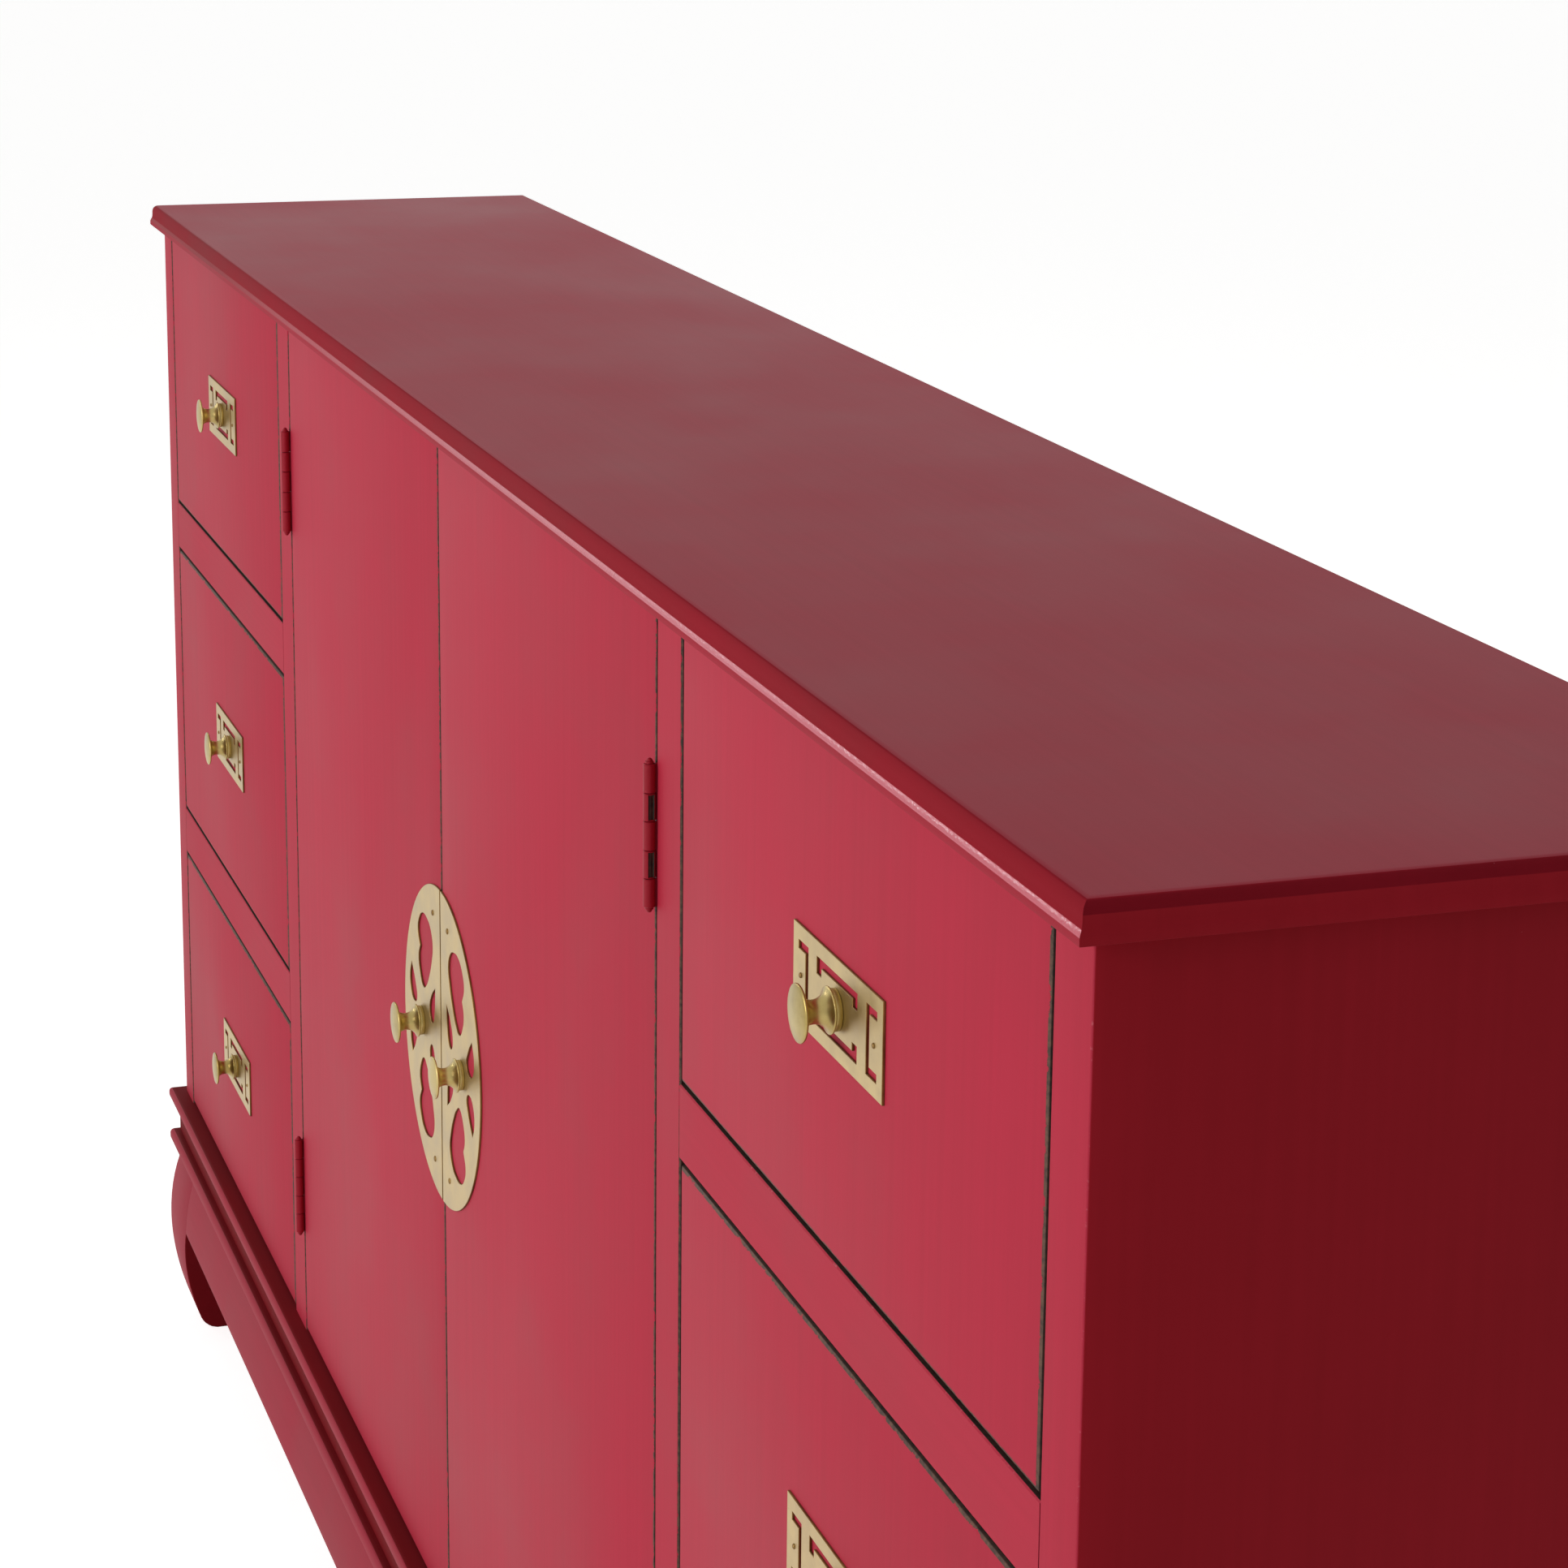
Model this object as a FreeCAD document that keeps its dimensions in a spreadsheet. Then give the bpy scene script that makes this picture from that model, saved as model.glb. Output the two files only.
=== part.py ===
"""A long low lacquered sideboard: two doors between two stacks of three drawers, on a stepped base with
bulging aprons and bracket feet. Millimetres, +Z up, front towards -Y, origin on the floor under the middle."""
import FreeCAD
import Part
import Sketcher
import math
import os
import re

SIZES = {
    # carcass
    "width": (1800, "carcass, over the end stiles"),
    "depth": (278, "carcass, front plane to back"),
    "drawer_height": (206, "opening of one drawer"),
    "drawer_open": (416, "opening of one drawer, side to side"),
    "rail_height": (34, "rail between two drawers"),
    "end_stile": (32, "corner post, seen from the front"),
    "inner_stile": (36, "post between drawers and doors"),
    "front_thick": (20, "stiles, rails, doors and drawer fronts"),
    "board": (18, "side panels and dividers"),
    "bottom_thick": (12, "carcass bottom"),
    "back_thick": (6, "back panel"),
    "front_gap": (2, "gap round doors and drawer fronts"),
    "edge_round": (1, "rounding of the front edges of doors and drawer fronts"),
    # top
    "top_thick": (15, "whole top slab"),
    "top_overhang": (9, "top slab past the front and sides"),
    "lip_thick": (6, "square lip under the edge"),
    "lip_step": (0.8, "edge above the lip, behind it"),
    "top_round": (1.5, "rounding of the upper edge"),
    # inside
    "shelf_thick": (16, "cupboard shelf"),
    "shelf_height": (330, "shelf underside above the carcass bottom"),
    "shelf_setback": (14, "shelf edge behind the doors"),
    "cleat_size": (18, "square strip under the shelf"),
    "runner_height": (8, "strip under a drawer side"),
    # drawer boxes
    "box_wall": (12, "drawer sides and back"),
    "box_bottom": (5, "drawer bottom"),
    "bottom_inset": (6, "drawer bottom above the lower edge of its sides"),
    "side_gap": (3, "drawer box to opening, each side"),
    "box_top_gap": (25, "drawer sides below the top of the opening"),
    "box_back_gap": (12, "drawer box to back panel"),
    # base
    "base_height": (184, "floor to carcass"),
    "upper_ledge": (10, "upper moulding, thickness"),
    "upper_nose": (4, "rounding of the upper moulding, above and below"),
    "upper_reach": (12, "upper moulding past the carcass"),
    "waist_height": (24, "recess between the mouldings"),
    "waist_reach": (5, "recess past the carcass"),
    "waist_thick": (24, "strips behind the recess"),
    "lower_ledge": (12, "lower moulding, thickness"),
    "lower_nose": (4.8, "rounding of the lower moulding, above and below"),
    "lower_reach": (12, "lower moulding past the carcass"),
    "apron_low": (86, "floor to the lower edge of the aprons"),
    "apron_inner": (15, "inner face of the aprons behind the carcass face"),
    "bulge_reach": (13, "fullest point of the bulge past the carcass"),
    "bulge_height": (78, "floor to the fullest point of the bulge"),
    "bulge_radius": (190, "curve of the bulge"),
    "foot_width": (58, "foot at the apron, from the carcass corner"),
    "foot_toe": (46, "foot at the floor, from the carcass corner"),
    "foot_curve": (150, "curve of the inner edge of a foot"),
    # hardware
    "plate_thick": (1.2, "sheet of the drawer plates and the medallion"),
    "plate_length": (103, "drawer plate"),
    "plate_height": (40, "drawer plate"),
    "slot_width": (3.4, "pierced lines of a drawer plate"),
    "plate_border": (6.3, "frame of a drawer plate"),
    "plate_heart": (18, "half length of the solid middle behind a knob"),
    "plate_leg": (5.4, "turned-down ends of the lines above and below the middle"),
    "plate_band": (10, "solid band between those lines and the bracket at each end"),
    "nail_radius": (1.7, "nail heads"),
    "nail_head": (0.8, "nail heads, height"),
    "nail_inset": (9.4, "nail from the end of a drawer plate"),
    "medallion_radius": (90, "round plate across both doors"),
    "medallion_nail_x": (17.5, "medallion nail from the middle of the front"),
    "medallion_nail_z": (72, "medallion nail above and below the knobs"),
    "door_knob_offset": (47, "door knob from the middle of the front"),
    "knob_reach": (17, "knob in front of its plate"),
    "knob_radius": (11.5, "front disc of a knob"),
    "knob_rim": (1.2, "edge of the front disc"),
    "knob_dome": (1.3, "height of the dome on the disc"),
    "neck_radius": (4.7, "thinnest part of a knob"),
    "neck_back": (5, "thinnest part behind the back of the disc"),
    "neck_flare": (7.2, "neck where it meets the disc"),
    "collar_radius": (9.3, "flange of a knob"),
    "collar_thick": (0.9, "edge of the flange"),
    "seat_radius": (8.3, "ring between the flange and the plate"),
    "seat_thick": (2.6, "ring between the flange and the plate, thickness"),
    "stem_radius": (2.5, "threaded stem of a knob"),
    "stem_clearance": (0.05, "stem in its hole, all round"),
    # hinges
    "hinge_length": (65, "barrel, without the finials"),
    "hinge_inset": (104, "middle of a hinge from the end of the door opening"),
    "knuckle_gap": (0.3, "between two knuckles"),
    "barrel_radius": (2.75, "outside of the knuckles"),
    "barrel_gap": (0.4, "barrel in front of the front plane"),
    "pin_radius": (1.2, "hinge pin"),
    "pin_clearance": (0.05, "pin in its knuckles, all round"),
    "leaf_thick": (0.9, "hinge leaf in the gap beside the door"),
    "leaf_depth": (15, "hinge leaf behind the front plane"),
    "finial_radius": (1.9, "cap on each end of a hinge pin"),
    "finial_height": (1.2, "cap on each end of a hinge pin, without its ball"),
    "ball_radius": (1.4, "ball on each cap"),
}

# Planes and levels worked out from the sizes
LEVELS = {
    "front": "(plate_thick + knob_reach - depth) / 2",
    "back": "front + depth",
    "inside": "front + front_thick",
    "back_inside": "back - back_thick",
    "row_step": "drawer_height + rail_height",
    "under_top": "base_height + 3 * drawer_height + 2 * rail_height",
    "door_half": "width / 2 - end_stile - inner_stile - drawer_open",
    "drawer_near": "door_half + inner_stile",
    "drawer_far": "width / 2 - end_stile",
    "drawer_middle": "(drawer_near + drawer_far) / 2",
    "divider_near": "door_half + (inner_stile - board) / 2",
    "divider_far": "divider_near + board",
    "side_inside": "width / 2 - board",
    "box_lift": "bottom_thick + runner_height",
    "box_half": "drawer_open / 2 - side_gap",
    "box_end": "depth - back_thick - box_back_gap",
    "box_top": "drawer_height - box_top_gap",
    "runner_grip": "side_gap + box_wall",
    "door_middle": "(base_height + under_top) / 2",
    "upper_low": "base_height - upper_ledge",
    "waist_low": "upper_low - waist_height",
    "lower_low": "waist_low - lower_ledge",
    "top_bulge": "bulge_reach - bulge_radius + sqrt(bulge_radius ^ 2 - (lower_low - bulge_height) ^ 2)",
    "apron_bulge": "bulge_reach - bulge_radius + sqrt(bulge_radius ^ 2 - (apron_low - bulge_height) ^ 2)",
    "floor_bulge": "bulge_reach - bulge_radius + sqrt(bulge_radius ^ 2 - bulge_height ^ 2)",
    "disc_back": "knob_reach - knob_dome - knob_rim",
    "collar_face": "seat_thick + collar_thick",
    "bell_length": "disc_back - neck_back - collar_face",
    "bell_draw": "collar_radius - neck_radius",
    "bell_curve": "(bell_length ^ 2 + bell_draw ^ 2) / (2 * bell_draw)",
    "back_draw": "neck_flare - neck_radius",
    "back_curve": "(neck_back ^ 2 + back_draw ^ 2) / (2 * back_draw)",
    "dome_curve": "(knob_radius ^ 2 + knob_dome ^ 2) / (2 * knob_dome)",
    "hinge_y": "front - barrel_radius - barrel_gap",
    "hinge_x": "door_half - front_gap / 2",
    "leaf_end": "barrel_radius + barrel_gap + leaf_depth",
    "relief_radius": "barrel_radius + knuckle_gap",
    "shelf_low": "base_height + bottom_thick + shelf_height",
}

TOLERANCE = 1e-4
SIDES = {"left": -1, "right": 1}
ROWS = ("lower", "middle", "upper")
COLUMNS = {"left": "-drawer_middle", "right": "drawer_middle"}

# Knuckles of a hinge barrel, counted from below: the frame's leaf has the odd ones, the door's the others
KNUCKLES = 5
FIXED_KNUCKLES = (0, 2, 4)
MOVING_KNUCKLES = (1, 3)

# Pierced shapes of the medallion above its knob: the radius of the middle line as a share of the plate's
# radius, its first and last angle in degrees, and its half width as a share of the plate's radius
PIERCED = (
    (0.62, 41, 58, 0.17),
    (0.77, 9.5, 17.5, 0.065),
    (0.3, 29, 53, 0.055),
)

doc = FreeCAD.newDocument("Sideboard")
sheet = doc.addObject("Spreadsheet::Sheet", "Sizes")
nodes = []


def fill_sheet():
    """One row per driving size: its name, its value and what it measures."""
    for row, (name, (size, note)) in enumerate(SIZES.items(), start=1):
        sheet.set(f"A{row}", name)
        sheet.set(f"B{row}", str(size))
        sheet.set(f"C{row}", note)
        sheet.setAlias(f"B{row}", name)
    doc.recompute()


def formula(text):
    """Writes a formula of size and level names as an expression on the sheet's cells."""
    def expand(match):
        word = match.group()
        if word in SIZES:
            return f"Sizes.{word}"
        if word in LEVELS:
            return f"({formula(LEVELS[word])})"
        return word
    return re.sub(r"[a-z_]+", expand, text)


def number(text):
    """The present value of a formula."""
    return float(sheet.evalExpression(formula(text)))


def bind(item, **places):
    """Binds properties to formulas; two underscores stand for a dot in the property's name."""
    for name, text in places.items():
        item.setExpression(name.replace("__", "."), formula(text))
    return item


def node(item, name):
    """Names a sub-part, whose shape goes to a file of that name."""
    item.Label = name
    nodes.append(item)
    return item


def board(name, x, y, z):
    """A rectangular board between two planes on each axis, given as (low, high) formulas."""
    item = doc.addObject("Part::Box", name)
    for axis, size, (low, high) in zip("xyz", ("Length", "Width", "Height"), (x, y, z)):
        item.setExpression(size, formula(f"({high}) - ({low})"))
        item.setExpression(f"Placement.Base.{axis}", formula(low))
    return item


def across(sign, low, high):
    """An interval on X, given for the right side, for the side with this sign."""
    return (low, high) if sign > 0 else (f"-({high})", f"-({low})")


def rod(name, radius, low, high, turn=None):
    """A round bar along Z between two heights, or turned to run forwards."""
    item = doc.addObject("Part::Cylinder", name)
    bind(item, Radius=radius, Height=f"({high}) - ({low})")
    if turn is None:
        bind(item, Placement__Base__z=low)
    else:
        item.Placement = FreeCAD.Placement(FreeCAD.Vector(), turn)
    return item


def group(name, members, **place):
    """Separate solids held together in one sub-part, placed as a whole."""
    item = doc.addObject("Part::Compound", name)
    item.Links = members
    return bind(item, **place)


def fused(name, members):
    item = doc.addObject("Part::MultiFuse", name)
    item.Shapes = members
    return item


def cut(name, base, tool):
    item = doc.addObject("Part::Cut", name)
    item.Base = base
    item.Tool = tool
    return item


def mirrored(name, source):
    """The same piece on the other side of the middle plane."""
    item = doc.addObject("Part::Mirroring", name)
    item.Source = source
    item.Normal = FreeCAD.Vector(1, 0, 0)
    return item


def new_body(name, **place):
    body = doc.addObject("PartDesign::Body", name)
    return bind(body, **place)


def new_sketch(body, plane):
    """An empty sketch on one of the body's own planes."""
    support = next(item for item in body.Origin.OriginFeatures if item.Role == plane)
    sketch = body.newObject("Sketcher::SketchObject", body.Name + "_outline")
    sketch.AttachmentSupport = (support, [""])
    sketch.MapMode = "FlatFace"
    return sketch


def place_point(sketch, curve, end, place):
    """Holds one end of a curve at a pair of formulas, measured from the sketch's origin."""
    for kind, axis, text in (("DistanceX", -2, place[0]), ("DistanceY", -1, place[1])):
        size = number(text)
        if text == "0":
            sketch.addConstraint(Sketcher.Constraint("PointOnObject", curve, end, axis))
            continue
        spot = sketch.addConstraint(Sketcher.Constraint(kind, -1, 1, curve, end, size))
        sketch.setExpression(f"Constraints[{spot}]", formula(text))


def draw_loop(sketch, corners):
    """A closed line through corners. A corner's third entry is the radius of an arc to the next one:
    a minus sign before it bends the arc to the other side."""
    points = [FreeCAD.Vector(number(corner[0]), number(corner[1]), 0) for corner in corners]
    ends = []
    for index, corner in enumerate(corners):
        start, stop = points[index], points[(index + 1) % len(points)]
        if len(corner) == 2:
            curve = sketch.addGeometry(Part.LineSegment(start, stop), False)
            ends.append((curve, 1, 2))
            continue
        turned = corner[2].startswith("-")
        radius = number(corner[2].lstrip("-"))
        first, last = (stop, start) if turned else (start, stop)
        chord = last - first
        normal = FreeCAD.Vector(-chord.y, chord.x, 0).normalize()
        centre = (first + last) / 2 + normal * math.sqrt(radius ** 2 - chord.Length ** 2 / 4)
        angles = [math.atan2(point.y - centre.y, point.x - centre.x) for point in (first, last)]
        circle = Part.Circle(centre, FreeCAD.Vector(0, 0, 1), radius)
        curve = sketch.addGeometry(Part.ArcOfCircle(circle, *angles), False)
        ends.append((curve, 2, 1) if turned else (curve, 1, 2))
    for index, (curve, start, stop) in enumerate(ends):
        follower, follower_start, _ = ends[(index + 1) % len(ends)]
        sketch.addConstraint(Sketcher.Constraint("Coincident", curve, stop, follower, follower_start))
    for (curve, start, stop), corner in zip(ends, corners):
        place_point(sketch, curve, start, corner)
        if len(corner) == 3:
            text = corner[2].lstrip("-")
            spot = sketch.addConstraint(Sketcher.Constraint("Radius", curve, number(text)))
            sketch.setExpression(f"Constraints[{spot}]", formula(text))


def draw_circle(sketch, centre, radius):
    middle = FreeCAD.Vector(number(centre[0]), number(centre[1]), 0)
    curve = sketch.addGeometry(Part.Circle(middle, FreeCAD.Vector(0, 0, 1), number(radius)), False)
    place_point(sketch, curve, 3, centre)
    spot = sketch.addConstraint(Sketcher.Constraint("Radius", curve, number(radius)))
    sketch.setExpression(f"Constraints[{spot}]", formula(radius))


def rectangle(low, high):
    """Corners of a rectangle between two opposite ones, each a pair of formulas."""
    return [low, (high[0], low[1]), high, (low[0], high[1])]


def pad(body, sketch, length, backwards=False):
    item = body.newObject("PartDesign::Pad", body.Name + "_pad")
    item.Profile = sketch
    item.Reversed = backwards
    bind(item, Length=length)
    body.Tip = item
    doc.recompute()
    return item


def round_edges(body, base, radius, wanted):
    """Rounds every edge that satisfies a test."""
    names = [f"Edge{index}" for index, edge in enumerate(base.Shape.Edges, start=1) if wanted(edge)]
    item = body.newObject("PartDesign::Fillet", body.Name + "_round")
    item.Base = (base, names)
    bind(item, Radius=radius)
    body.Tip = item
    doc.recompute()


def near(value, text):
    return abs(value - number(text)) < TOLERANCE


def top_panel():
    """One slab: a square lip below, and a slightly set back edge above it on the front and both ends."""
    body = node(new_body("top_panel", Placement__Base__z="under_top"), "top_panel")
    lip = new_sketch(body, "XY_Plane")
    reach = "width / 2 + top_overhang"
    draw_loop(lip, rectangle((f"-({reach})", "front - top_overhang"), (reach, "back")))
    pad(body, lip, "lip_thick")
    slab = new_sketch(body, "XY_Plane")
    inner = f"{reach} - lip_step"
    draw_loop(slab, rectangle((f"-({inner})", "front - top_overhang + lip_step"), (inner, "back")))
    whole = pad(body, slab, "top_thick")

    def upper_rim(edge):
        on_top = all(near(vertex.Z, "top_thick") for vertex in edge.Vertexes)
        return on_top and not near(edge.CenterOfMass.y, "back")

    round_edges(body, whole, "top_round", upper_rim)


def carcass():
    """Posts and panels: corner posts and side panels, inner posts with dividers behind them."""
    inner_x = ("-side_inside", "side_inside")
    inner_y = ("inside", "back_inside")
    full_z = ("base_height", "under_top")
    bottom_z = ("base_height", "base_height + bottom_thick")
    node(board("bottom_panel", inner_x, inner_y, bottom_z), "bottom_panel")
    node(board("back_panel", inner_x, ("back_inside", "back"), full_z), "back_panel")
    for side, sign in SIDES.items():
        parts = {
            f"{side}_side_panel": (("side_inside", "width / 2"), ("inside", "back"), full_z),
            f"{side}_end_stile": (("drawer_far", "width / 2"), ("front", "inside"), full_z),
            f"{side}_inner_stile": (("door_half", "drawer_near"), ("front", "inside"), full_z),
            f"{side}_divider": (("divider_near", "divider_far"), inner_y,
                                ("base_height + bottom_thick", "under_top")),
        }
        for name, (x, y, z) in parts.items():
            node(board(name, across(sign, *x), y, z), name)


def opening_low(row):
    """Lower edge of the drawer opening in a row counted from below."""
    return f"base_height + {row} * row_step"


def drawer_frame():
    """Rails between the drawers, and the strips that the drawer sides run on."""
    rails, runners = [], []
    for side, sign in SIDES.items():
        for row in range(len(ROWS)):
            low = opening_low(row)
            strip_z = (f"{low} + bottom_thick", f"{low} + box_lift")
            for place, x in (("outer", ("drawer_far - runner_grip", "side_inside")),
                             ("inner", ("divider_far", "drawer_near + runner_grip"))):
                name = f"{side}_{ROWS[row]}_{place}_runner"
                runners.append(board(name, across(sign, *x), ("inside", "back_inside"), strip_z))
            if row:
                rail_z = (f"{low} - rail_height", low)
                rail_x = across(sign, "drawer_near", "drawer_far")
                rails.append(board(f"{side}_{ROWS[row]}_rail", rail_x, ("front", "inside"), rail_z))
    node(group("drawer_rails", rails), "drawer_rails")
    node(group("drawer_runners", runners), "drawer_runners")


def cupboard():
    """A shelf behind the doors on two strips."""
    shelf_y = ("inside + shelf_setback", "back_inside")
    shelf_z = ("shelf_low", "shelf_low + shelf_thick")
    node(board("shelf", ("-divider_near", "divider_near"), shelf_y, shelf_z), "shelf")
    cleats = []
    for side, sign in SIDES.items():
        x = across(sign, "divider_near - cleat_size", "divider_near")
        cleats.append(board(f"{side}_cleat", x, shelf_y, ("shelf_low - cleat_size", "shelf_low")))
    node(group("shelf_cleats", cleats), "shelf_cleats")


def ledge(name, reach, low, thick, nose):
    """A full board of the base with a rounded nose on the front and both ends."""
    body = node(new_body(name, Placement__Base__z=low), name)
    sketch = new_sketch(body, "XY_Plane")
    side = f"width / 2 + {reach}"
    draw_loop(sketch, rectangle((f"-({side})", f"front - {reach}"), (side, "back")))
    base = pad(body, sketch, thick)

    def rim(edge):
        level = abs(edge.Vertexes[0].Z - edge.Vertexes[-1].Z) < TOLERANCE
        return level and not near(edge.CenterOfMass.y, "back")

    round_edges(body, base, nose, rim)


def base_mouldings():
    """Two ledges with a recessed waist of four strips between them."""
    ledge("upper_base_moulding", "upper_reach", "upper_low", "upper_ledge", "upper_nose")
    ledge("lower_base_moulding", "lower_reach", "lower_low", "lower_ledge", "lower_nose")
    level = ("waist_low", "upper_low")
    outer = "width / 2 + waist_reach"
    strips = [
        board("front_waist", (f"-({outer})", outer), ("front - waist_reach", "front + waist_thick"), level),
        board("back_waist", (f"-({outer})", outer), ("back - waist_thick", "back"), level),
    ]
    for side, sign in SIDES.items():
        x = across(sign, f"{outer} - waist_thick", outer)
        strips.append(board(f"{side}_waist", x, ("front + waist_thick", "back - waist_thick"), level))
    node(group("waist_strips", strips), "waist_strips")


def apron_section(face):
    """Section of an apron whose outer face bulges towards the negative side of the given face."""
    return [
        (f"{face} - (top_bulge)", "lower_low", "bulge_radius"),
        (f"{face} - (apron_bulge)", "apron_low"),
        (f"{face} + apron_inner", "apron_low"),
        (f"{face} + apron_inner", "lower_low"),
    ]


def aprons():
    """Bulging boards between the feet, and a flat one at the back."""
    between = "width / 2 - foot_width"
    front = node(new_body("front_apron", Placement__Base__x=f"-({between})"), "front_apron")
    sketch = new_sketch(front, "YZ_Plane")
    draw_loop(sketch, apron_section("front"))
    pad(front, sketch, f"2 * ({between})")
    left = node(new_body("left_apron", Placement__Base__y="front + foot_width"), "left_apron")
    sketch = new_sketch(left, "XZ_Plane")
    draw_loop(sketch, apron_section("-width / 2"))
    pad(left, sketch, "depth - 2 * foot_width", backwards=True)
    node(mirrored("right_apron", left), "right_apron")
    back_y = ("back - apron_inner", "back")
    node(board("back_apron", (f"-({between})", between), back_y, ("apron_low", "lower_low")), "back_apron")


def foot_section(face):
    """Side of a foot: bulging outer face, and an inner edge that curves in towards the floor."""
    return [
        (f"{face} - (top_bulge)", "lower_low", "bulge_radius"),
        (f"{face} - (floor_bulge)", "0"),
        (f"{face} + foot_toe", "0", "-foot_curve"),
        (f"{face} + foot_width", "apron_low"),
        (f"{face} + foot_width", "lower_low"),
    ]


def back_foot_section():
    """Side of a back foot, flat against the wall."""
    return [
        ("back", "lower_low"),
        ("back - foot_width", "lower_low"),
        ("back - foot_width", "apron_low", "-foot_curve"),
        ("back - foot_toe", "0"),
        ("back", "0"),
    ]


def feet():
    """Bracket feet: the front section and the side section of each corner, where both hold."""
    length = "2 * foot_width"
    for place, section, low in (("front", foot_section("front"), "front - foot_width / 2"),
                                ("back", back_foot_section(), "back - 1.5 * foot_width")):
        name = f"{place}_left_foot"
        along = new_body(name + "_depth", Placement__Base__x="-width / 2 - foot_width / 2")
        sketch = new_sketch(along, "YZ_Plane")
        draw_loop(sketch, section)
        pad(along, sketch, length)
        wide = new_body(name + "_width", Placement__Base__y=low)
        sketch = new_sketch(wide, "XZ_Plane")
        draw_loop(sketch, foot_section("-width / 2"))
        pad(wide, sketch, length, backwards=True)
        foot = doc.addObject("Part::MultiCommon", name)
        foot.Shapes = [along, wide]
        node(foot, name)
        node(mirrored(f"{place}_right_foot", foot), f"{place}_right_foot")


def front_board(name, low, high, hole):
    """A door or drawer front with rounded front edges and a hole for the stem of its knob."""
    body = new_body(name)
    sketch = new_sketch(body, "XZ_Plane")
    draw_loop(sketch, rectangle(low, high))
    draw_circle(sketch, hole, "stem_radius + stem_clearance")
    base = pad(body, sketch, "front_thick", backwards=True)

    def front_rim(edge):
        straight = len(edge.Vertexes) == 2
        return straight and all(abs(vertex.Y) < TOLERANCE for vertex in edge.Vertexes)

    round_edges(body, base, "edge_round", front_rim)
    return body


def forwards():
    """Turns a bar that stands along Z to point at the viewer."""
    return FreeCAD.Rotation(FreeCAD.Vector(1, 0, 0), 90)


def nail(name, x, z):
    """A flat nail head on the face of a plate."""
    item = rod(name, "nail_radius", "0", "nail_head", turn=forwards())
    return bind(item, Placement__Base__x=x, Placement__Base__y="-plate_thick", Placement__Base__z=z)


def drawer_plate():
    """A pierced oblong plate with bracket-shaped lines round a solid middle, and a nail at each end."""
    body = new_body("plate_sheet")
    sketch = new_sketch(body, "XZ_Plane")
    draw_loop(sketch, rectangle(("-plate_length / 2", "-plate_height / 2"),
                                ("plate_length / 2", "plate_height / 2")))
    draw_circle(sketch, ("0", "0"), "stem_radius + stem_clearance")
    top = "plate_height / 2 - plate_border"
    wide_x = "plate_heart + plate_leg"
    near_x = f"{wide_x} + plate_band"
    far_x = "plate_length / 2 - plate_border"
    for sign in ("", "-"):
        bracket = [
            (near_x, top), (far_x, top), (far_x, f"{top} - slot_width"),
            (f"{near_x} + slot_width", f"{top} - slot_width"),
            (f"{near_x} + slot_width", f"slot_width - ({top})"),
            (far_x, f"slot_width - ({top})"), (far_x, f"-({top})"), (near_x, f"-({top})"),
        ]
        draw_loop(sketch, [(f"{sign}({x})", z) for x, z in bracket])
        low_z = f"{top} - 2 * slot_width"
        arch = [
            (f"-({wide_x})", top), (wide_x, top), (wide_x, low_z), ("plate_heart", low_z),
            ("plate_heart", f"{top} - slot_width"), ("-plate_heart", f"{top} - slot_width"),
            ("-plate_heart", low_z), (f"-({wide_x})", low_z),
        ]
        draw_loop(sketch, [(x, f"{sign}({z})") for x, z in arch])
    pad(body, sketch, "plate_thick")
    spot = "plate_length / 2 - nail_inset"
    return [body, nail("plate_nail_left", f"-({spot})", "0"), nail("plate_nail_right", spot, "0")]


def knob():
    """A turned knob: stem, seat, flange, a neck like a bell, and a slightly domed front disc."""
    body = new_body("knob")
    sketch = new_sketch(body, "XY_Plane")
    tip = "-plate_thick - knob_reach"
    disc = "-plate_thick - disc_back"
    draw_loop(sketch, [
        ("0", "front_thick"), ("stem_radius", "front_thick"), ("stem_radius", "-plate_thick"),
        ("seat_radius", "-plate_thick"), ("seat_radius", "-plate_thick - seat_thick"),
        ("collar_radius", "-plate_thick - seat_thick"),
        ("collar_radius", "-plate_thick - collar_face", "bell_curve"),
        ("neck_radius", f"{disc} + neck_back", "back_curve"), ("neck_flare", disc),
        ("knob_radius", disc), ("knob_radius", f"{tip} + knob_dome", "-dome_curve"),
        ("0", tip),
    ])
    turning = body.newObject("PartDesign::Revolution", "knob_turning")
    turning.Profile = sketch
    turning.ReferenceAxis = (sketch, ["V_Axis"])
    turning.Angle = 360
    body.Tip = turning
    doc.recompute()
    return body


def drawer_boards():
    """Sides, back and bottom of a drawer, from the lower middle of its opening at the front plane."""
    wall_in = "box_half - box_wall"
    level = ("box_lift", "box_top")
    floor = ("box_lift + bottom_inset", "box_lift + bottom_inset + box_bottom")
    return [
        board("box_left", ("-box_half", f"-({wall_in})"), ("front_thick", "box_end"), level),
        board("box_right", (wall_in, "box_half"), ("front_thick", "box_end"), level),
        board("box_rear", (f"-({wall_in})", wall_in), ("box_end - box_wall", "box_end"), level),
        board("box_floor", (f"-({wall_in})", wall_in), ("front_thick", "box_end - box_wall"), floor),
    ]


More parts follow.
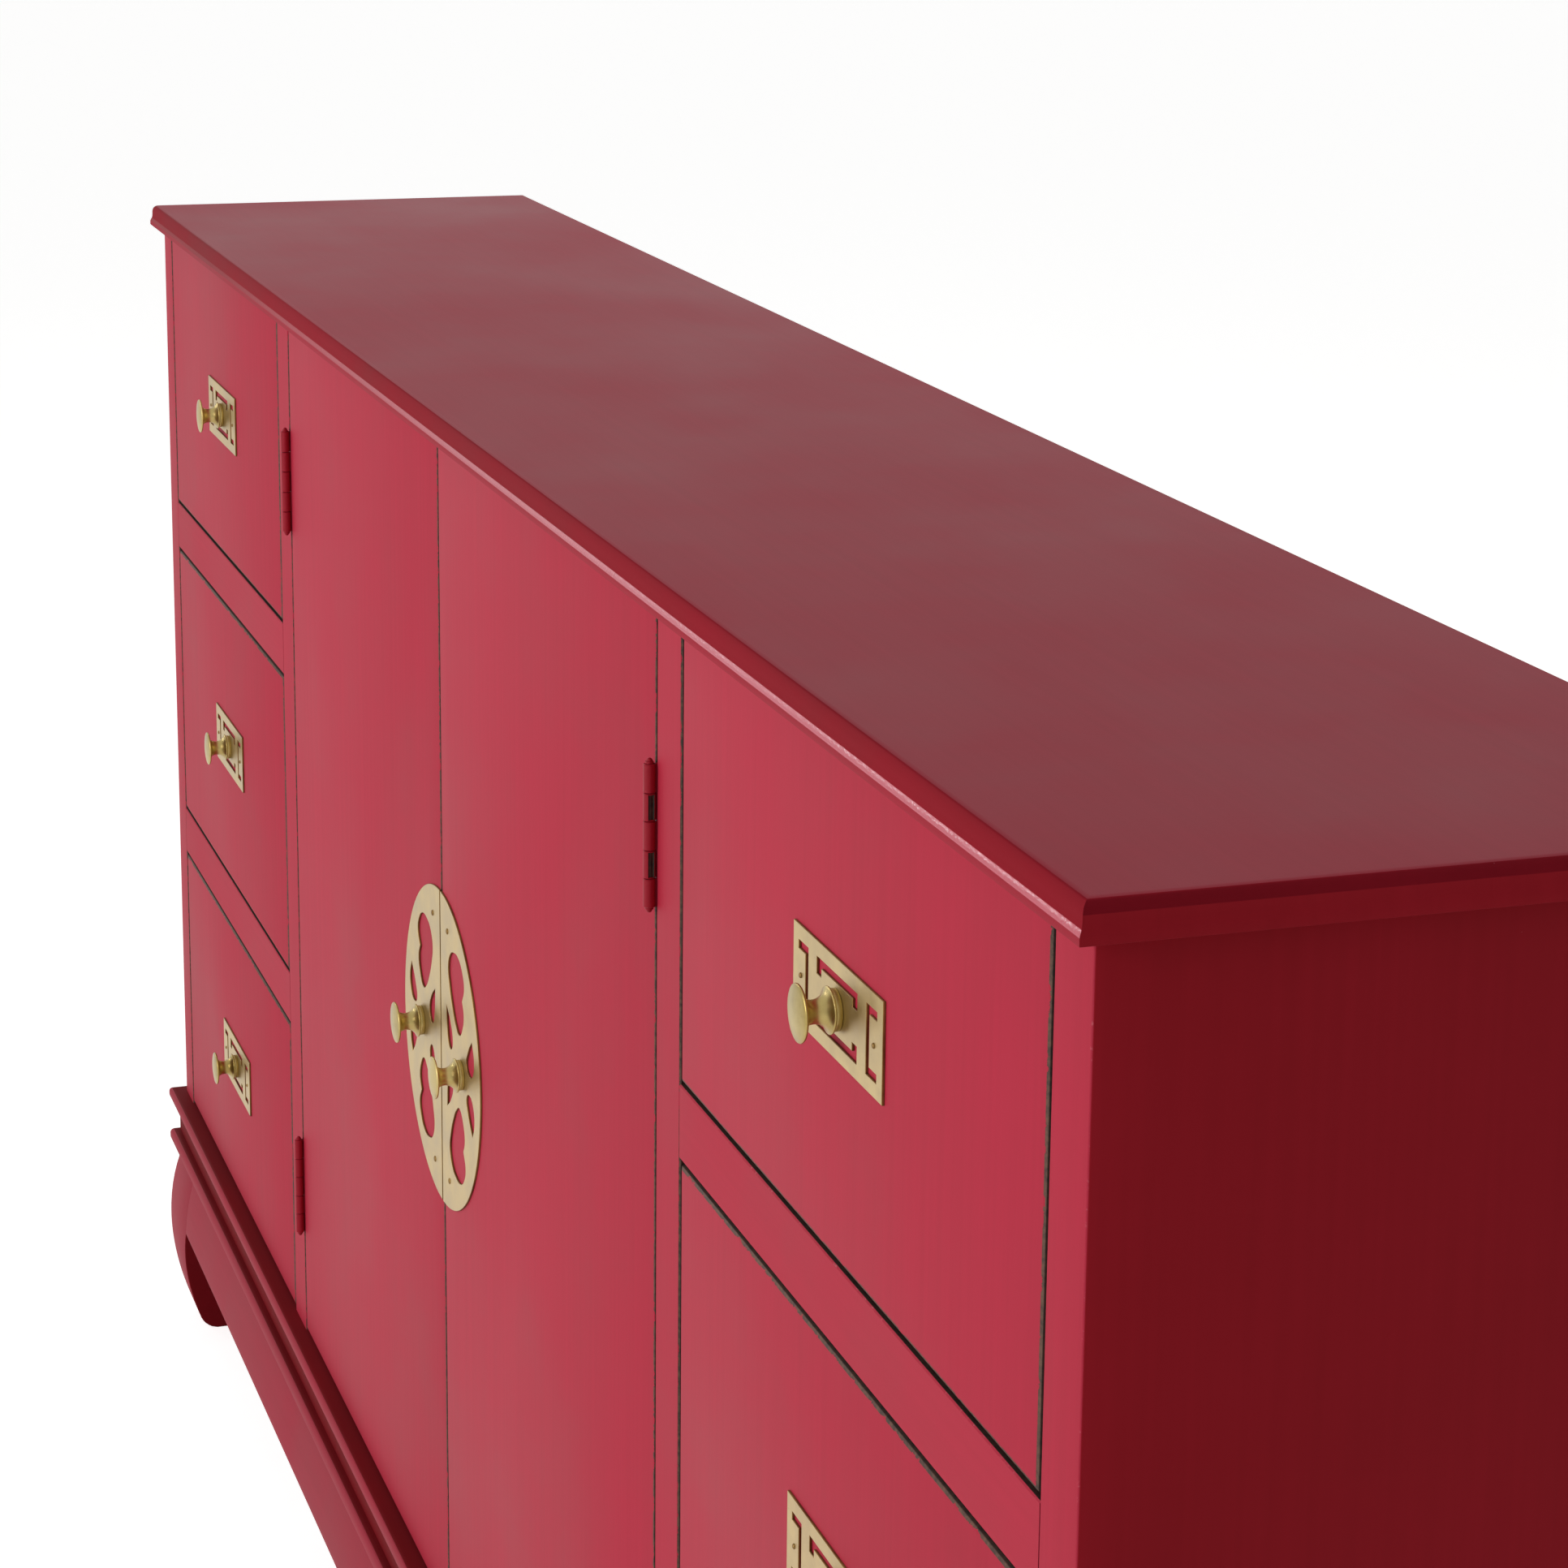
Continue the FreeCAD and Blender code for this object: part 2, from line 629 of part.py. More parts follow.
def drawers(plate, knob_piece):
    """Six equal drawers, each a front, a box, a plate and a knob."""
    half = "drawer_open / 2 - front_gap"
    middle = "drawer_height / 2"
    low_corner, high_corner = (f"-({half})", "front_gap"), (half, "drawer_height - front_gap")
    front = front_board("front_board", low_corner, high_corner, ("0", middle))
    box = drawer_boards()
    for side, column in COLUMNS.items():
        for row, level in enumerate(ROWS):
            low = opening_low(row)
            name = f"{side}_{level}_drawer"
            for piece, members, height in (("front", [front], low), ("box", box, low),
                                           ("plate", plate, f"{low} + {middle}"),
                                           ("knob", [knob_piece], f"{low} + {middle}")):
                item = group(f"{name}_{piece}", members, Placement__Base__x=column,
                             Placement__Base__y="front", Placement__Base__z=height)
                node(item, f"{name}_{piece}")


def arc_slot(radius, start, stop, half):
    """A slot with round ends along an arc about the origin, from a start to a stop angle in degrees."""
    def spot(distance, angle):
        turn = math.radians(angle)
        return FreeCAD.Vector(distance * math.cos(turn), 0, distance * math.sin(turn))

    bend = math.degrees(half / radius)
    middle = (start + stop) / 2
    outer, inner = radius + half, radius - half
    return Part.Wire([
        Part.Arc(spot(outer, start), spot(outer, middle), spot(outer, stop)).toShape(),
        Part.Arc(spot(outer, stop), spot(radius, stop + bend), spot(inner, stop)).toShape(),
        Part.Arc(spot(inner, stop), spot(inner, middle), spot(inner, start)).toShape(),
        Part.Arc(spot(inner, start), spot(radius, start - bend), spot(outer, start)).toShape(),
    ])


def medallion_half():
    """Right half of the round plate: a ring, a band along the door's edge, a boss for the knob, and
    pierced beans and slits between them."""
    radius = number("medallion_radius")
    edge = number("front_gap / 2")
    rise = math.sqrt(radius ** 2 - edge ** 2)
    low, high = FreeCAD.Vector(edge, 0, -rise), FreeCAD.Vector(edge, 0, rise)
    rim = Part.Arc(low, FreeCAD.Vector(radius, 0, 0), high).toShape()
    outline = Part.Wire([rim, Part.makeLine(high, low)])
    boss = FreeCAD.Vector(number("door_knob_offset"), 0, 0)
    hole = Part.Wire(Part.makeCircle(number("stem_radius + stem_clearance"), boss, FreeCAD.Vector(0, 1, 0)))
    slots = []
    for share, start, stop, half in PIERCED:
        for first, last in ((start, stop), (-stop, -start)):
            slots.append(arc_slot(share * radius, first, last, half * radius))
    sheet_face = Part.makeFace([outline, hole] + slots, "Part::FaceMakerBullseye")
    half_plate = doc.addObject("Part::Feature", "medallion_sheet")
    half_plate.Shape = sheet_face.extrude(FreeCAD.Vector(0, -number("plate_thick"), 0))
    return half_plate


def doors(knob_piece):
    """Two doors that meet in the middle, each with half of the medallion, its nails and a knob."""
    plate = medallion_half()
    nails = [nail("medallion_nail_high", "medallion_nail_x", "medallion_nail_z"),
             nail("medallion_nail_low", "medallion_nail_x", "-medallion_nail_z")]
    right_half = group("right_medallion", [plate] + nails,
                       Placement__Base__y="front", Placement__Base__z="door_middle")
    node(right_half, "right_medallion")
    node(mirrored("left_medallion", right_half), "left_medallion")
    for side, sign in SIDES.items():
        x = across(sign, "front_gap / 2", "door_half - front_gap")
        centre = across(sign, "door_knob_offset", "door_knob_offset")[0]
        low, high = (x[0], "base_height + front_gap"), (x[1], "under_top - front_gap")
        panel = front_board(f"{side}_door_board", low, high, (centre, "door_middle"))
        node(group(f"{side}_door_panel", [panel], Placement__Base__y="front"), f"{side}_door_panel")
        pull = group(f"{side}_door_knob", [knob_piece], Placement__Base__x=centre,
                     Placement__Base__y="front", Placement__Base__z="door_middle")
        node(pull, f"{side}_door_knob")


def hinge_leaf(name, x, knuckles, reliefs):
    """One leaf of a butt hinge about the Z axis: a strip with its knuckles, cut clear of the other's."""
    strip = board(f"{name}_strip", x, ("0", "leaf_end"), ("-hinge_length / 2", "hinge_length / 2"))
    barrels = [rod(f"{name}_knuckle{index}", "barrel_radius", *span) for index, span in enumerate(knuckles)]
    clear = [rod(f"{name}_relief{index}", "relief_radius", *span) for index, span in enumerate(reliefs)]
    bore = rod(f"{name}_bore", "pin_radius + pin_clearance", "-hinge_length", "hinge_length")
    blank = cut(f"{name}_blank", strip, fused(f"{name}_reliefs", clear))
    return cut(name, fused(f"{name}_whole", [blank] + barrels), bore)


def hinge_pin():
    """A pin with a cap and a ball at each end."""
    half = "hinge_length / 2"
    tip = f"{half} + finial_height"
    pieces = [
        rod("pin_shaft", "pin_radius", f"-({half})", half),
        rod("pin_cap_top", "finial_radius", half, tip),
        rod("pin_cap_low", "finial_radius", f"-({tip})", f"-({half})"),
    ]
    for name, z in (("pin_ball_top", tip), ("pin_ball_low", f"-({tip})")):
        ball = doc.addObject("Part::Sphere", name)
        pieces.append(bind(ball, Radius="ball_radius", Placement__Base__z=z))
    return fused("hinge_pin", pieces)


def knuckle_spans(numbers, slack="0"):
    """Heights of some of a barrel's knuckles, counted from below, with some slack at both ends."""
    return [(f"hinge_length * ({number} / {KNUCKLES} - 0.5) - ({slack})",
             f"hinge_length * ({number + 1} / {KNUCKLES} - 0.5) + ({slack})") for number in numbers]


def hinges():
    """Butt hinges whose leaves lie in the gap beside each door, with the barrel proud of the front."""
    fixed = hinge_leaf("fixed_leaf", ("-front_gap / 2", "leaf_thick - front_gap / 2"),
                       knuckle_spans(FIXED_KNUCKLES), knuckle_spans(MOVING_KNUCKLES))
    moving = hinge_leaf("moving_leaf", ("front_gap / 2 - leaf_thick", "front_gap / 2"),
                        knuckle_spans(MOVING_KNUCKLES, "-knuckle_gap"),
                        knuckle_spans(FIXED_KNUCKLES, "knuckle_gap"))
    pin = hinge_pin()
    heights = {"low": "base_height + hinge_inset", "high": "under_top - hinge_inset"}
    stores = {name: [] for name in ("hinge_frame_leaves", "hinge_pins",
                                    "left_hinge_door_leaves", "right_hinge_door_leaves")}
    for side, sign in SIDES.items():
        turn = FreeCAD.Rotation(FreeCAD.Vector(0, 1, 0), 0 if sign < 0 else 180)
        x = "-hinge_x" if sign < 0 else "hinge_x"
        for level, z in heights.items():
            for store, piece in (("hinge_frame_leaves", fixed), ("hinge_pins", pin),
                                 (f"{side}_hinge_door_leaves", moving)):
                item = group(f"{side}_{level}_{piece.Name}", [piece])
                item.Placement = FreeCAD.Placement(FreeCAD.Vector(), turn)
                bind(item, Placement__Base__x=x, Placement__Base__y="hinge_y", Placement__Base__z=z)
                stores[store].append(item)
    for name, members in stores.items():
        node(group(name, members), name)


def check():
    """Stops if an object failed or a sub-part has no valid shape."""
    doc.recompute()
    failed = [item.Name for item in doc.Objects if {"Invalid", "Error"} & set(item.State)]
    shapes = {item.Label: item.Shape for item in nodes}
    unsound = [name for name, shape in shapes.items()
               if shape.isNull() or not shape.isValid() or not shape.Solids]
    if failed or unsound:
        raise RuntimeError(f"failed objects {failed}, unsound sub-parts {unsound}")


def export():
    os.makedirs("parts", exist_ok=True)
    for item in nodes:
        item.Shape.exportStep(f"parts/{item.Label}.step")
    print(len(nodes), "sub-parts")


fill_sheet()
top_panel()
carcass()
drawer_frame()
cupboard()
base_mouldings()
aprons()
feet()
pull_knob = knob()
drawers(drawer_plate(), pull_knob)
doors(pull_knob)
hinges()
check()
export()
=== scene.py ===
"""Looks of a long lacquered sideboard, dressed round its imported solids. Metres, front towards -Y."""
import math

import bmesh
import bpy
from mathutils import Matrix, Vector


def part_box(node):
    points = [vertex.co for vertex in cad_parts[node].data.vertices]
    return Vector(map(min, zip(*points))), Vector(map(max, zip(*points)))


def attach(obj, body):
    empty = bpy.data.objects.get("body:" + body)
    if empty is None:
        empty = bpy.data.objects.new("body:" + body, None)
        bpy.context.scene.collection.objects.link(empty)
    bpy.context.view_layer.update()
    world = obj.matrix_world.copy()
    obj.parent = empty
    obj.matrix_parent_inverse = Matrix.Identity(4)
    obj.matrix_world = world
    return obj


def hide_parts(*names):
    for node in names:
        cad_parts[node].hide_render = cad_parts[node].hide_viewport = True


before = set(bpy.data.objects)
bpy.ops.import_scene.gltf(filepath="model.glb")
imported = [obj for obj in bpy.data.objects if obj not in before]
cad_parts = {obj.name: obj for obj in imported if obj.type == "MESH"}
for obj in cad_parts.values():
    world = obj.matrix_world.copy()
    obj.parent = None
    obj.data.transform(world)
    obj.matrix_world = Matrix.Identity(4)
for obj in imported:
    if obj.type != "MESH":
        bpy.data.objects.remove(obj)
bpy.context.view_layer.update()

MM = 0.001
SIDES = {"left": -1, "right": 1}
ROWS = ("lower", "middle", "upper")
DRAWERS = [f"{side}_{row}_drawer" for side in SIDES for row in ROWS]

# How squarely a face or an edge lies along an axis, as a share of its direction
FACE_UP = 0.9
FLAT_ON = 0.98
SIDEWAYS = 0.5

# Gaps, holes and boards that are the same in the solids
FRONT_GAP = 2 * MM
STEM_HOLE = 2.55 * MM
BOX_WALL = 12 * MM

# Planes of the carcass, read from the solids
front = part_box("left_end_stile")[0].y
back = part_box("back_panel")[1].y
half_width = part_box("right_end_stile")[1].x
box_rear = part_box("left_lower_drawer_box")[1].y - BOX_WALL
door_middle = (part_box("left_medallion")[0].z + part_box("left_medallion")[1].z) / 2


# Colours and surfaces


def tone(red, green, blue):
    """A colour given in 0 to 255 as seen on a screen, as the shader takes it."""
    def linear(value):
        share = value / 255
        return share / 12.92 if share <= 0.04045 else ((share + 0.055) / 1.055) ** 2.4
    return (linear(red), linear(green), linear(blue), 1.0)


def surface(name):
    """A new material, its node tree and its shader."""
    material = bpy.data.materials.new(name)
    material.use_nodes = True
    tree = material.node_tree
    return material, tree, tree.nodes["Principled BSDF"]


def spots(tree, stretch, scale, detail=3.0, roughness=0.55, distortion=0.0):
    """Noise on the piece's own coordinates, stretched along an axis by a smaller number for it."""
    coordinates = tree.nodes.new("ShaderNodeTexCoord")
    mapping = tree.nodes.new("ShaderNodeMapping")
    if isinstance(stretch, tuple):
        mapping.inputs["Scale"].default_value = stretch
    else:
        tree.links.new(stretch, mapping.inputs["Scale"])
    noise = tree.nodes.new("ShaderNodeTexNoise")
    noise.inputs["Scale"].default_value = scale
    noise.inputs["Detail"].default_value = detail
    noise.inputs["Roughness"].default_value = roughness
    noise.inputs["Distortion"].default_value = distortion
    tree.links.new(coordinates.outputs["Object"], mapping.inputs["Vector"])
    tree.links.new(mapping.outputs["Vector"], noise.inputs["Vector"])
    return noise.outputs["Fac"]


def along(tree, axis):
    """One axis of the piece's own coordinates."""
    coordinates = tree.nodes.new("ShaderNodeTexCoord")
    axes = tree.nodes.new("ShaderNodeSeparateXYZ")
    tree.links.new(coordinates.outputs["Object"], axes.inputs["Vector"])
    return axes.outputs[axis]


def shades(tree, source, stops):
    """Colours along a grey value: pairs of (place, colour)."""
    ramp = tree.nodes.new("ShaderNodeValToRGB")
    ramp.color_ramp.elements[0].position, ramp.color_ramp.elements[0].color = stops[0]
    ramp.color_ramp.elements[1].position, ramp.color_ramp.elements[1].color = stops[-1]
    for place, colour in stops[1:-1]:
        ramp.color_ramp.elements.new(place).color = colour
    tree.links.new(source, ramp.inputs["Fac"])
    return ramp.outputs["Color"]


def span(tree, source, low, high, start=0.3, stop=0.7):
    """A grey value spread over a range of numbers."""
    spread = tree.nodes.new("ShaderNodeMapRange")
    spread.inputs["From Min"].default_value = start
    spread.inputs["From Max"].default_value = stop
    spread.inputs["To Min"].default_value = low
    spread.inputs["To Max"].default_value = high
    tree.links.new(source, spread.inputs["Value"])
    return spread.outputs["Result"]


# Numbers of the Mix node's sockets for colours
MIX_SHARE, MIX_FIRST, MIX_SECOND, MIX_RESULT = 0, 6, 7, 2


def blended(tree, share, first, second, kind="MIX"):
    """Two colours mixed by a grey value."""
    mix = tree.nodes.new("ShaderNodeMix")
    mix.data_type = "RGBA"
    mix.blend_type = kind
    for source, socket in ((share, MIX_SHARE), (first, MIX_FIRST), (second, MIX_SECOND)):
        if isinstance(source, (int, float, tuple)):
            mix.inputs[socket].default_value = source
        else:
            tree.links.new(source, mix.inputs[socket])
    return mix.outputs[MIX_RESULT]


def relief(tree, shader, layers):
    """Bumps from several heights, each with its strength and its depth in metres."""
    normal = None
    for height, strength, depth in layers:
        bump = tree.nodes.new("ShaderNodeBump")
        bump.inputs["Strength"].default_value = strength
        bump.inputs["Distance"].default_value = depth
        tree.links.new(height, bump.inputs["Height"])
        if normal is not None:
            tree.links.new(normal, bump.inputs["Normal"])
        normal = bump.outputs["Normal"]
    tree.links.new(normal, shader.inputs["Normal"])


# How a noise is drawn out: along a board, or not at all
ALONG_X = (0.02, 1, 1)
ALONG_Y = (1, 0.02, 1)
ALONG_Z = (1, 1, 0.02)
EVEN = (1, 1, 1)

# Reds of the lacquer, each from the dark to the light of its clouds
RASPBERRY = (tone(168, 25, 50), tone(178, 29, 56), tone(185, 35, 62))
# Base: a darker copy of the front's red, painted shade on the ledges, aprons and feet
SHADED_BASE_RED = (tone(146, 20, 42), tone(156, 24, 48), tone(164, 29, 54))
# Lip: a darker copy of the front's red, painted shade on the slab's lip and underside
SHADED_LIP_RED = (tone(150, 22, 42), tone(158, 25, 46), tone(166, 30, 52))
# Crimson: painted shade on the slab's hollowed edge and upper ends; also the bead's base and the lacquer deep
# in the gaps
CRIMSON = (tone(128, 13, 27), tone(140, 16, 32), tone(150, 20, 38))
# Recess: a darker red, painted shade on the ledge tops, the inner faces of the feet and the waist strips
RECESS_SHADE_RED = (tone(104, 11, 18), tone(114, 14, 22), tone(124, 17, 26))
HINGE_RED = (tone(146, 17, 35), tone(156, 20, 40), tone(164, 25, 46))
# Sides: a darker copy of the front's red, painted shade on the faces turned to the left and right
SHADED_SIDE_RED = (tone(160, 21, 34), tone(167, 24, 38), tone(173, 28, 43))
# Top: a darker, greyer copy of the front's red, painted shade with a painted greyish reflection
SHADED_TOP_RED = (tone(144, 27, 44), tone(152, 32, 50), tone(160, 37, 55))

# Wear: how much of a noise shows as chips, from where they start to where they are full; the denser chips on
# arrises are wear and a painted highlight
RARE = (0.775, 0.80)
WORN = (0.58, 0.74)
CHIP = tone(206, 120, 128)

# Bead worn smoother by hands and paler to its right as a painted highlight: its pale colour, the stretch from
# its left to its right over which it changes, and its gloss
HIGHLIGHT_PALE = tone(200, 78, 95)
WEAR_AND_HIGHLIGHT_STRETCH = (-0.6, 0.5)
RUBBED_GLOSS = (0.70, 0.22)

# Fineness of the marks in each surface: cells of noise in a metre
LACQUER_CLOUDS, BRUSH_MARKS, LACQUER_SKIN, LACQUER_CHIPS = 4.5, 190, 620, 230
STAIN_GRAIN, STAIN_BITES = 420, 110
BRASS_CLOUDS, BRASS_LINES, BRASS_SPECKS = 45, 2600, 420
WOOD_CLOUDS, WOOD_GROWTH, WOOD_PORES = 6, 120, 900

# Stain along the gaps: depths behind the plane of the front
STAIN_START, STAIN_FULL = -0.02 * MM, 0.06 * MM
STAIN_WORN, STAIN_RAGGED, STAIN_DEPTH = 0.45 * MM, 0.9 * MM, 2.5 * MM

# Shades along a noise, from the dark to the light of it
STAIN_TONES = [(0.35, tone(24, 15, 11)), (0.65, tone(66, 44, 34))]
WORN_STAIN_TONES = [(0.35, tone(58, 40, 32)), (0.65, tone(108, 80, 66))]
WOOD_TONES = [(0.32, tone(178, 132, 92)), (0.5, tone(203, 163, 123)), (0.68, tone(219, 185, 147))]
TARNISH = tone(112, 88, 52)


def lacquer(name, colours, marks, gloss=(0.62, 0.74), sheen=0.32, skin_depth=0.10, wear=RARE):
    """Brushed satin lacquer: cloudy colour, long brush marks, a fine skin like orange peel, pale chips."""
    material, tree, shader = surface(name)
    clouds = spots(tree, EVEN, LACQUER_CLOUDS, detail=4.0, roughness=0.6)
    brush = spots(tree, marks, BRUSH_MARKS, detail=3.0, roughness=0.65)
    skin = spots(tree, EVEN, LACQUER_SKIN, detail=1.5)
    chips = spots(tree, EVEN, LACQUER_CHIPS, detail=4.0, roughness=0.7)
    dark, middle, light = colours
    colour = shades(tree, clouds, [(0.30, dark), (0.5, middle), (0.72, light)])
    streaks = shades(tree, brush, [(0.32, (0.93, 0.90, 0.90, 1)), (0.68, (1.04, 1.05, 1.05, 1))])
    colour = blended(tree, 0.55, colour, streaks, "MULTIPLY")
    colour = blended(tree, span(tree, chips, 0.0, 0.8, *wear), colour, CHIP)
    tree.links.new(colour, shader.inputs["Base Color"])
    tree.links.new(span(tree, clouds, *gloss), shader.inputs["Roughness"])
    shader.inputs["Specular IOR Level"].default_value = sheen
    relief(tree, shader, [(brush, 0.10, 0.4 * MM), (skin, skin_depth, 0.25 * MM)])
    return material


def rubbed_and_highlit(material):
    """Lacquer that hands have worn smoother towards the right end of the piece, and paler there as a painted
    highlight.
    """
    tree = material.node_tree
    shader = tree.nodes["Principled BSDF"]
    share = span(tree, along(tree, "X"), 0.0, 1.0, *WEAR_AND_HIGHLIGHT_STRETCH)
    colour = shader.inputs["Base Color"].links[0].from_socket
    tree.links.new(blended(tree, share, colour, HIGHLIGHT_PALE), shader.inputs["Base Color"])
    tree.links.new(span(tree, share, *RUBBED_GLOSS, 0.0, 1.0), shader.inputs["Roughness"])
    return material


def dark_stain_and_shade(name, in_gap):
    """Brown-black stain; in a gap its front rim is ragged and worn, with crimson lacquer deeper in. Outside a
    gap the plain brown-black is painted shade.
    """
    material, tree, shader = surface(name)
    grain = spots(tree, EVEN, STAIN_GRAIN, detail=4.0)
    colour = shades(tree, grain, STAIN_TONES)
    if in_gap:
        bites = spots(tree, EVEN, STAIN_BITES, detail=5.0, roughness=0.7)
        ragged = span(tree, bites, 0.0, STAIN_RAGGED, 0.52, 0.75)
        depth = along(tree, "Y")
        rim = tree.nodes.new("ShaderNodeMath")
        rim.operation = "SUBTRACT"
        tree.links.new(depth, rim.inputs[0])
        tree.links.new(ragged, rim.inputs[1])
        darker = span(tree, depth, 0.0, 1.0, front + STAIN_WORN, front + 2 * STAIN_WORN)
        colour = blended(tree, darker, shades(tree, grain, WORN_STAIN_TONES), colour)
        stained = span(tree, rim.outputs[0], 0.0, 1.0, front + STAIN_START, front + STAIN_FULL)
        deeper = span(tree, depth, 0.0, 1.0, front + STAIN_DEPTH, front + 2 * STAIN_DEPTH)
        colour = blended(tree, deeper, blended(tree, stained, RASPBERRY[1], colour), CRIMSON[1])
    tree.links.new(colour, shader.inputs["Base Color"])
    tree.links.new(span(tree, grain, 0.55, 0.75), shader.inputs["Roughness"])
    shader.inputs["Specular IOR Level"].default_value = 0.25
    relief(tree, shader, [(grain, 0.2, 0.3 * MM)])
    return material


def brass(name, dark, light, gloss, scratch):
    """Lacquered brass: faint clouds of tarnish and fine lines from rubbing."""
    material, tree, shader = surface(name)
    clouds = spots(tree, EVEN, BRASS_CLOUDS, detail=5.0, roughness=0.6)
    lines = spots(tree, ALONG_X, BRASS_LINES, detail=2.0)
    specks = spots(tree, EVEN, BRASS_SPECKS, detail=3.0, roughness=0.7)
    colour = shades(tree, clouds, [(0.32, dark), (0.62, light)])
    colour = blended(tree, span(tree, specks, 0.0, 0.5, 0.66, 0.78), colour, TARNISH)
    tree.links.new(colour, shader.inputs["Base Color"])
    tree.links.new(span(tree, clouds, *gloss), shader.inputs["Roughness"])
    shader.inputs["Metallic"].default_value = 1.0
    relief(tree, shader, [(lines, scratch, 0.08 * MM), (specks, 0.05, 0.1 * MM)])
    return material


def pale_wood(name, grain_way, rear_way=None):
    """Plain unfinished softwood: growth lines, fine pores, cloudiness; a box's rear has its own grain."""
    material, tree, shader = surface(name)
    if rear_way:
        rear = span(tree, along(tree, "Y"), 0.0, 1.0, box_rear - 0.2 * MM, box_rear - 0.1 * MM)
        grain_way = blended(tree, rear, (*grain_way, 1.0), (*rear_way, 1.0))
    clouds = spots(tree, EVEN, WOOD_CLOUDS, detail=3.0)
    growth = spots(tree, grain_way, WOOD_GROWTH, detail=6.0, roughness=0.62, distortion=0.5)
    pores = spots(tree, grain_way, WOOD_PORES, detail=2.0)
    colour = shades(tree, growth, WOOD_TONES)
    lines = shades(tree, pores, [(0.35, (0.80, 0.76, 0.72, 1)), (0.55, (1.0, 1.0, 1.0, 1))])
    colour = blended(tree, 0.6, colour, lines, "MULTIPLY")
    shadow = shades(tree, clouds, [(0.3, (0.90, 0.88, 0.86, 1)), (0.7, (1.0, 1.0, 1.0, 1))])
    colour = blended(tree, 0.8, colour, shadow, "MULTIPLY")
    tree.links.new(colour, shader.inputs["Base Color"])
    tree.links.new(span(tree, growth, 0.55, 0.72), shader.inputs["Roughness"])
    shader.inputs["Specular IOR Level"].default_value = 0.3
    relief(tree, shader, [(growth, 0.15, 0.6 * MM), (pores, 0.2, 0.3 * MM)])
    return material


front_lacquer = lacquer("front_lacquer", RASPBERRY, ALONG_Z)
rail_lacquer = lacquer("rail_lacquer", RASPBERRY, ALONG_X)
shaded_side_lacquer = lacquer("shaded_side_lacquer", SHADED_SIDE_RED, ALONG_Z, sheen=0.12)
rim_lacquer = lacquer("rim_lacquer", RASPBERRY, EVEN, wear=WORN)
shaded_top_lacquer = lacquer("shaded_top_lacquer", SHADED_TOP_RED, ALONG_X, gloss=(0.56, 0.68))
shaded_edge_lacquer = lacquer("shaded_edge_lacquer", CRIMSON, ALONG_X, sheen=0.08)
shaded_lip_lacquer = lacquer("shaded_lip_lacquer", SHADED_LIP_RED, ALONG_X, sheen=0.22)
# The bead's lacquer turns paler towards the right: a painted highlight
bead_lacquer = rubbed_and_highlit(lacquer("bead_lacquer", CRIMSON, ALONG_X, sheen=0.4, skin_depth=0.6))
shaded_base_lacquer = lacquer("shaded_base_lacquer", SHADED_BASE_RED, ALONG_X)
recess_shade_lacquer = lacquer("recess_shade_lacquer", RECESS_SHADE_RED, ALONG_X, sheen=0.06)
hinge_paint = lacquer("hinge_paint", HINGE_RED, ALONG_Z, gloss=(0.42, 0.56), sheen=0.2)
edge_stain = dark_stain_and_shade("dark_edge_stain", in_gap=True)
# Hinge seams: plain brown-black, painted shade
seam_shade = dark_stain_and_shade("hinge_seam_shade", in_gap=False)
plate_brass = brass("plate_brass", tone(168, 145, 98), tone(190, 168, 120), gloss=(0.34, 0.48), scratch=0.12)
# Darker brass for the plates' cut edges and their nails
darker_brass = brass("darker_brass", tone(108, 82, 46), tone(140, 112, 66), gloss=(0.42, 0.58), scratch=0.08)
knob_brass = brass("knob_brass", tone(150, 130, 74), tone(184, 165, 108), gloss=(0.30, 0.40), scratch=0.06)
wood_along_x = pale_wood("pale_wood_along_x", ALONG_X)
wood_along_y = pale_wood("pale_wood_along_y", ALONG_Y)
wood_along_z = pale_wood("pale_wood_along_z", ALONG_Z)
box_wood = pale_wood("drawer_box_wood", ALONG_Y, rear_way=ALONG_X)


# Ways of working

SHARP = math.radians(40)
MERGE = 0.01 * MM


def choose(piece):
    """Makes a piece the only selected one."""
    bpy.ops.object.select_all(action="DESELECT")
    piece.select_set(True)
    bpy.context.view_layer.objects.active = piece


def pick(piece, kind, wanted):
    """Selects the edges or faces that pass a test, in edit mode."""
    bpy.ops.mesh.select_mode(type=kind)
    bpy.ops.mesh.select_all(action="DESELECT")
    shape = bmesh.from_edit_mesh(piece.data)
    parts = {"EDGE": shape.edges, "FACE": shape.faces}
    for part in parts[kind]:
        if wanted(part):
            part.select_set(True)
    bmesh.update_edit_mesh(piece.data)


def open_piece(piece):
    """Opens a piece, and no other, for editing."""
    choose(piece)
    bpy.ops.object.mode_set(mode="EDIT")


def close_piece():
    bpy.ops.object.mode_set(mode="OBJECT")


def named(name):
    """Names the piece just added and puts its place into its mesh."""
    piece = bpy.context.object
    piece.name = name
    piece.data.name = name
    bpy.ops.object.transform_apply(location=True, rotation=True, scale=True)
    return piece


def mended(piece):
    """Merges doubles and turns all faces outwards."""
    open_piece(piece)
    bpy.ops.mesh.select_all(action="SELECT")
    bpy.ops.mesh.remove_doubles(threshold=MERGE)
    bpy.ops.mesh.normals_make_consistent(inside=False)
    close_piece()
    return piece


def middle_of(edge):
    return (edge.verts[0].co + edge.verts[1].co) / 2


def is_sharp(edge):
    return len(edge.link_faces) == 2 and edge.calc_face_angle() > SHARP


def is_upright(edge):
    return abs((edge.verts[0].co - edge.verts[1].co).normalized().z) > FACE_UP


def is_level(edge):
    return abs((edge.verts[0].co - edge.verts[1].co).normalized().x) > FACE_UP


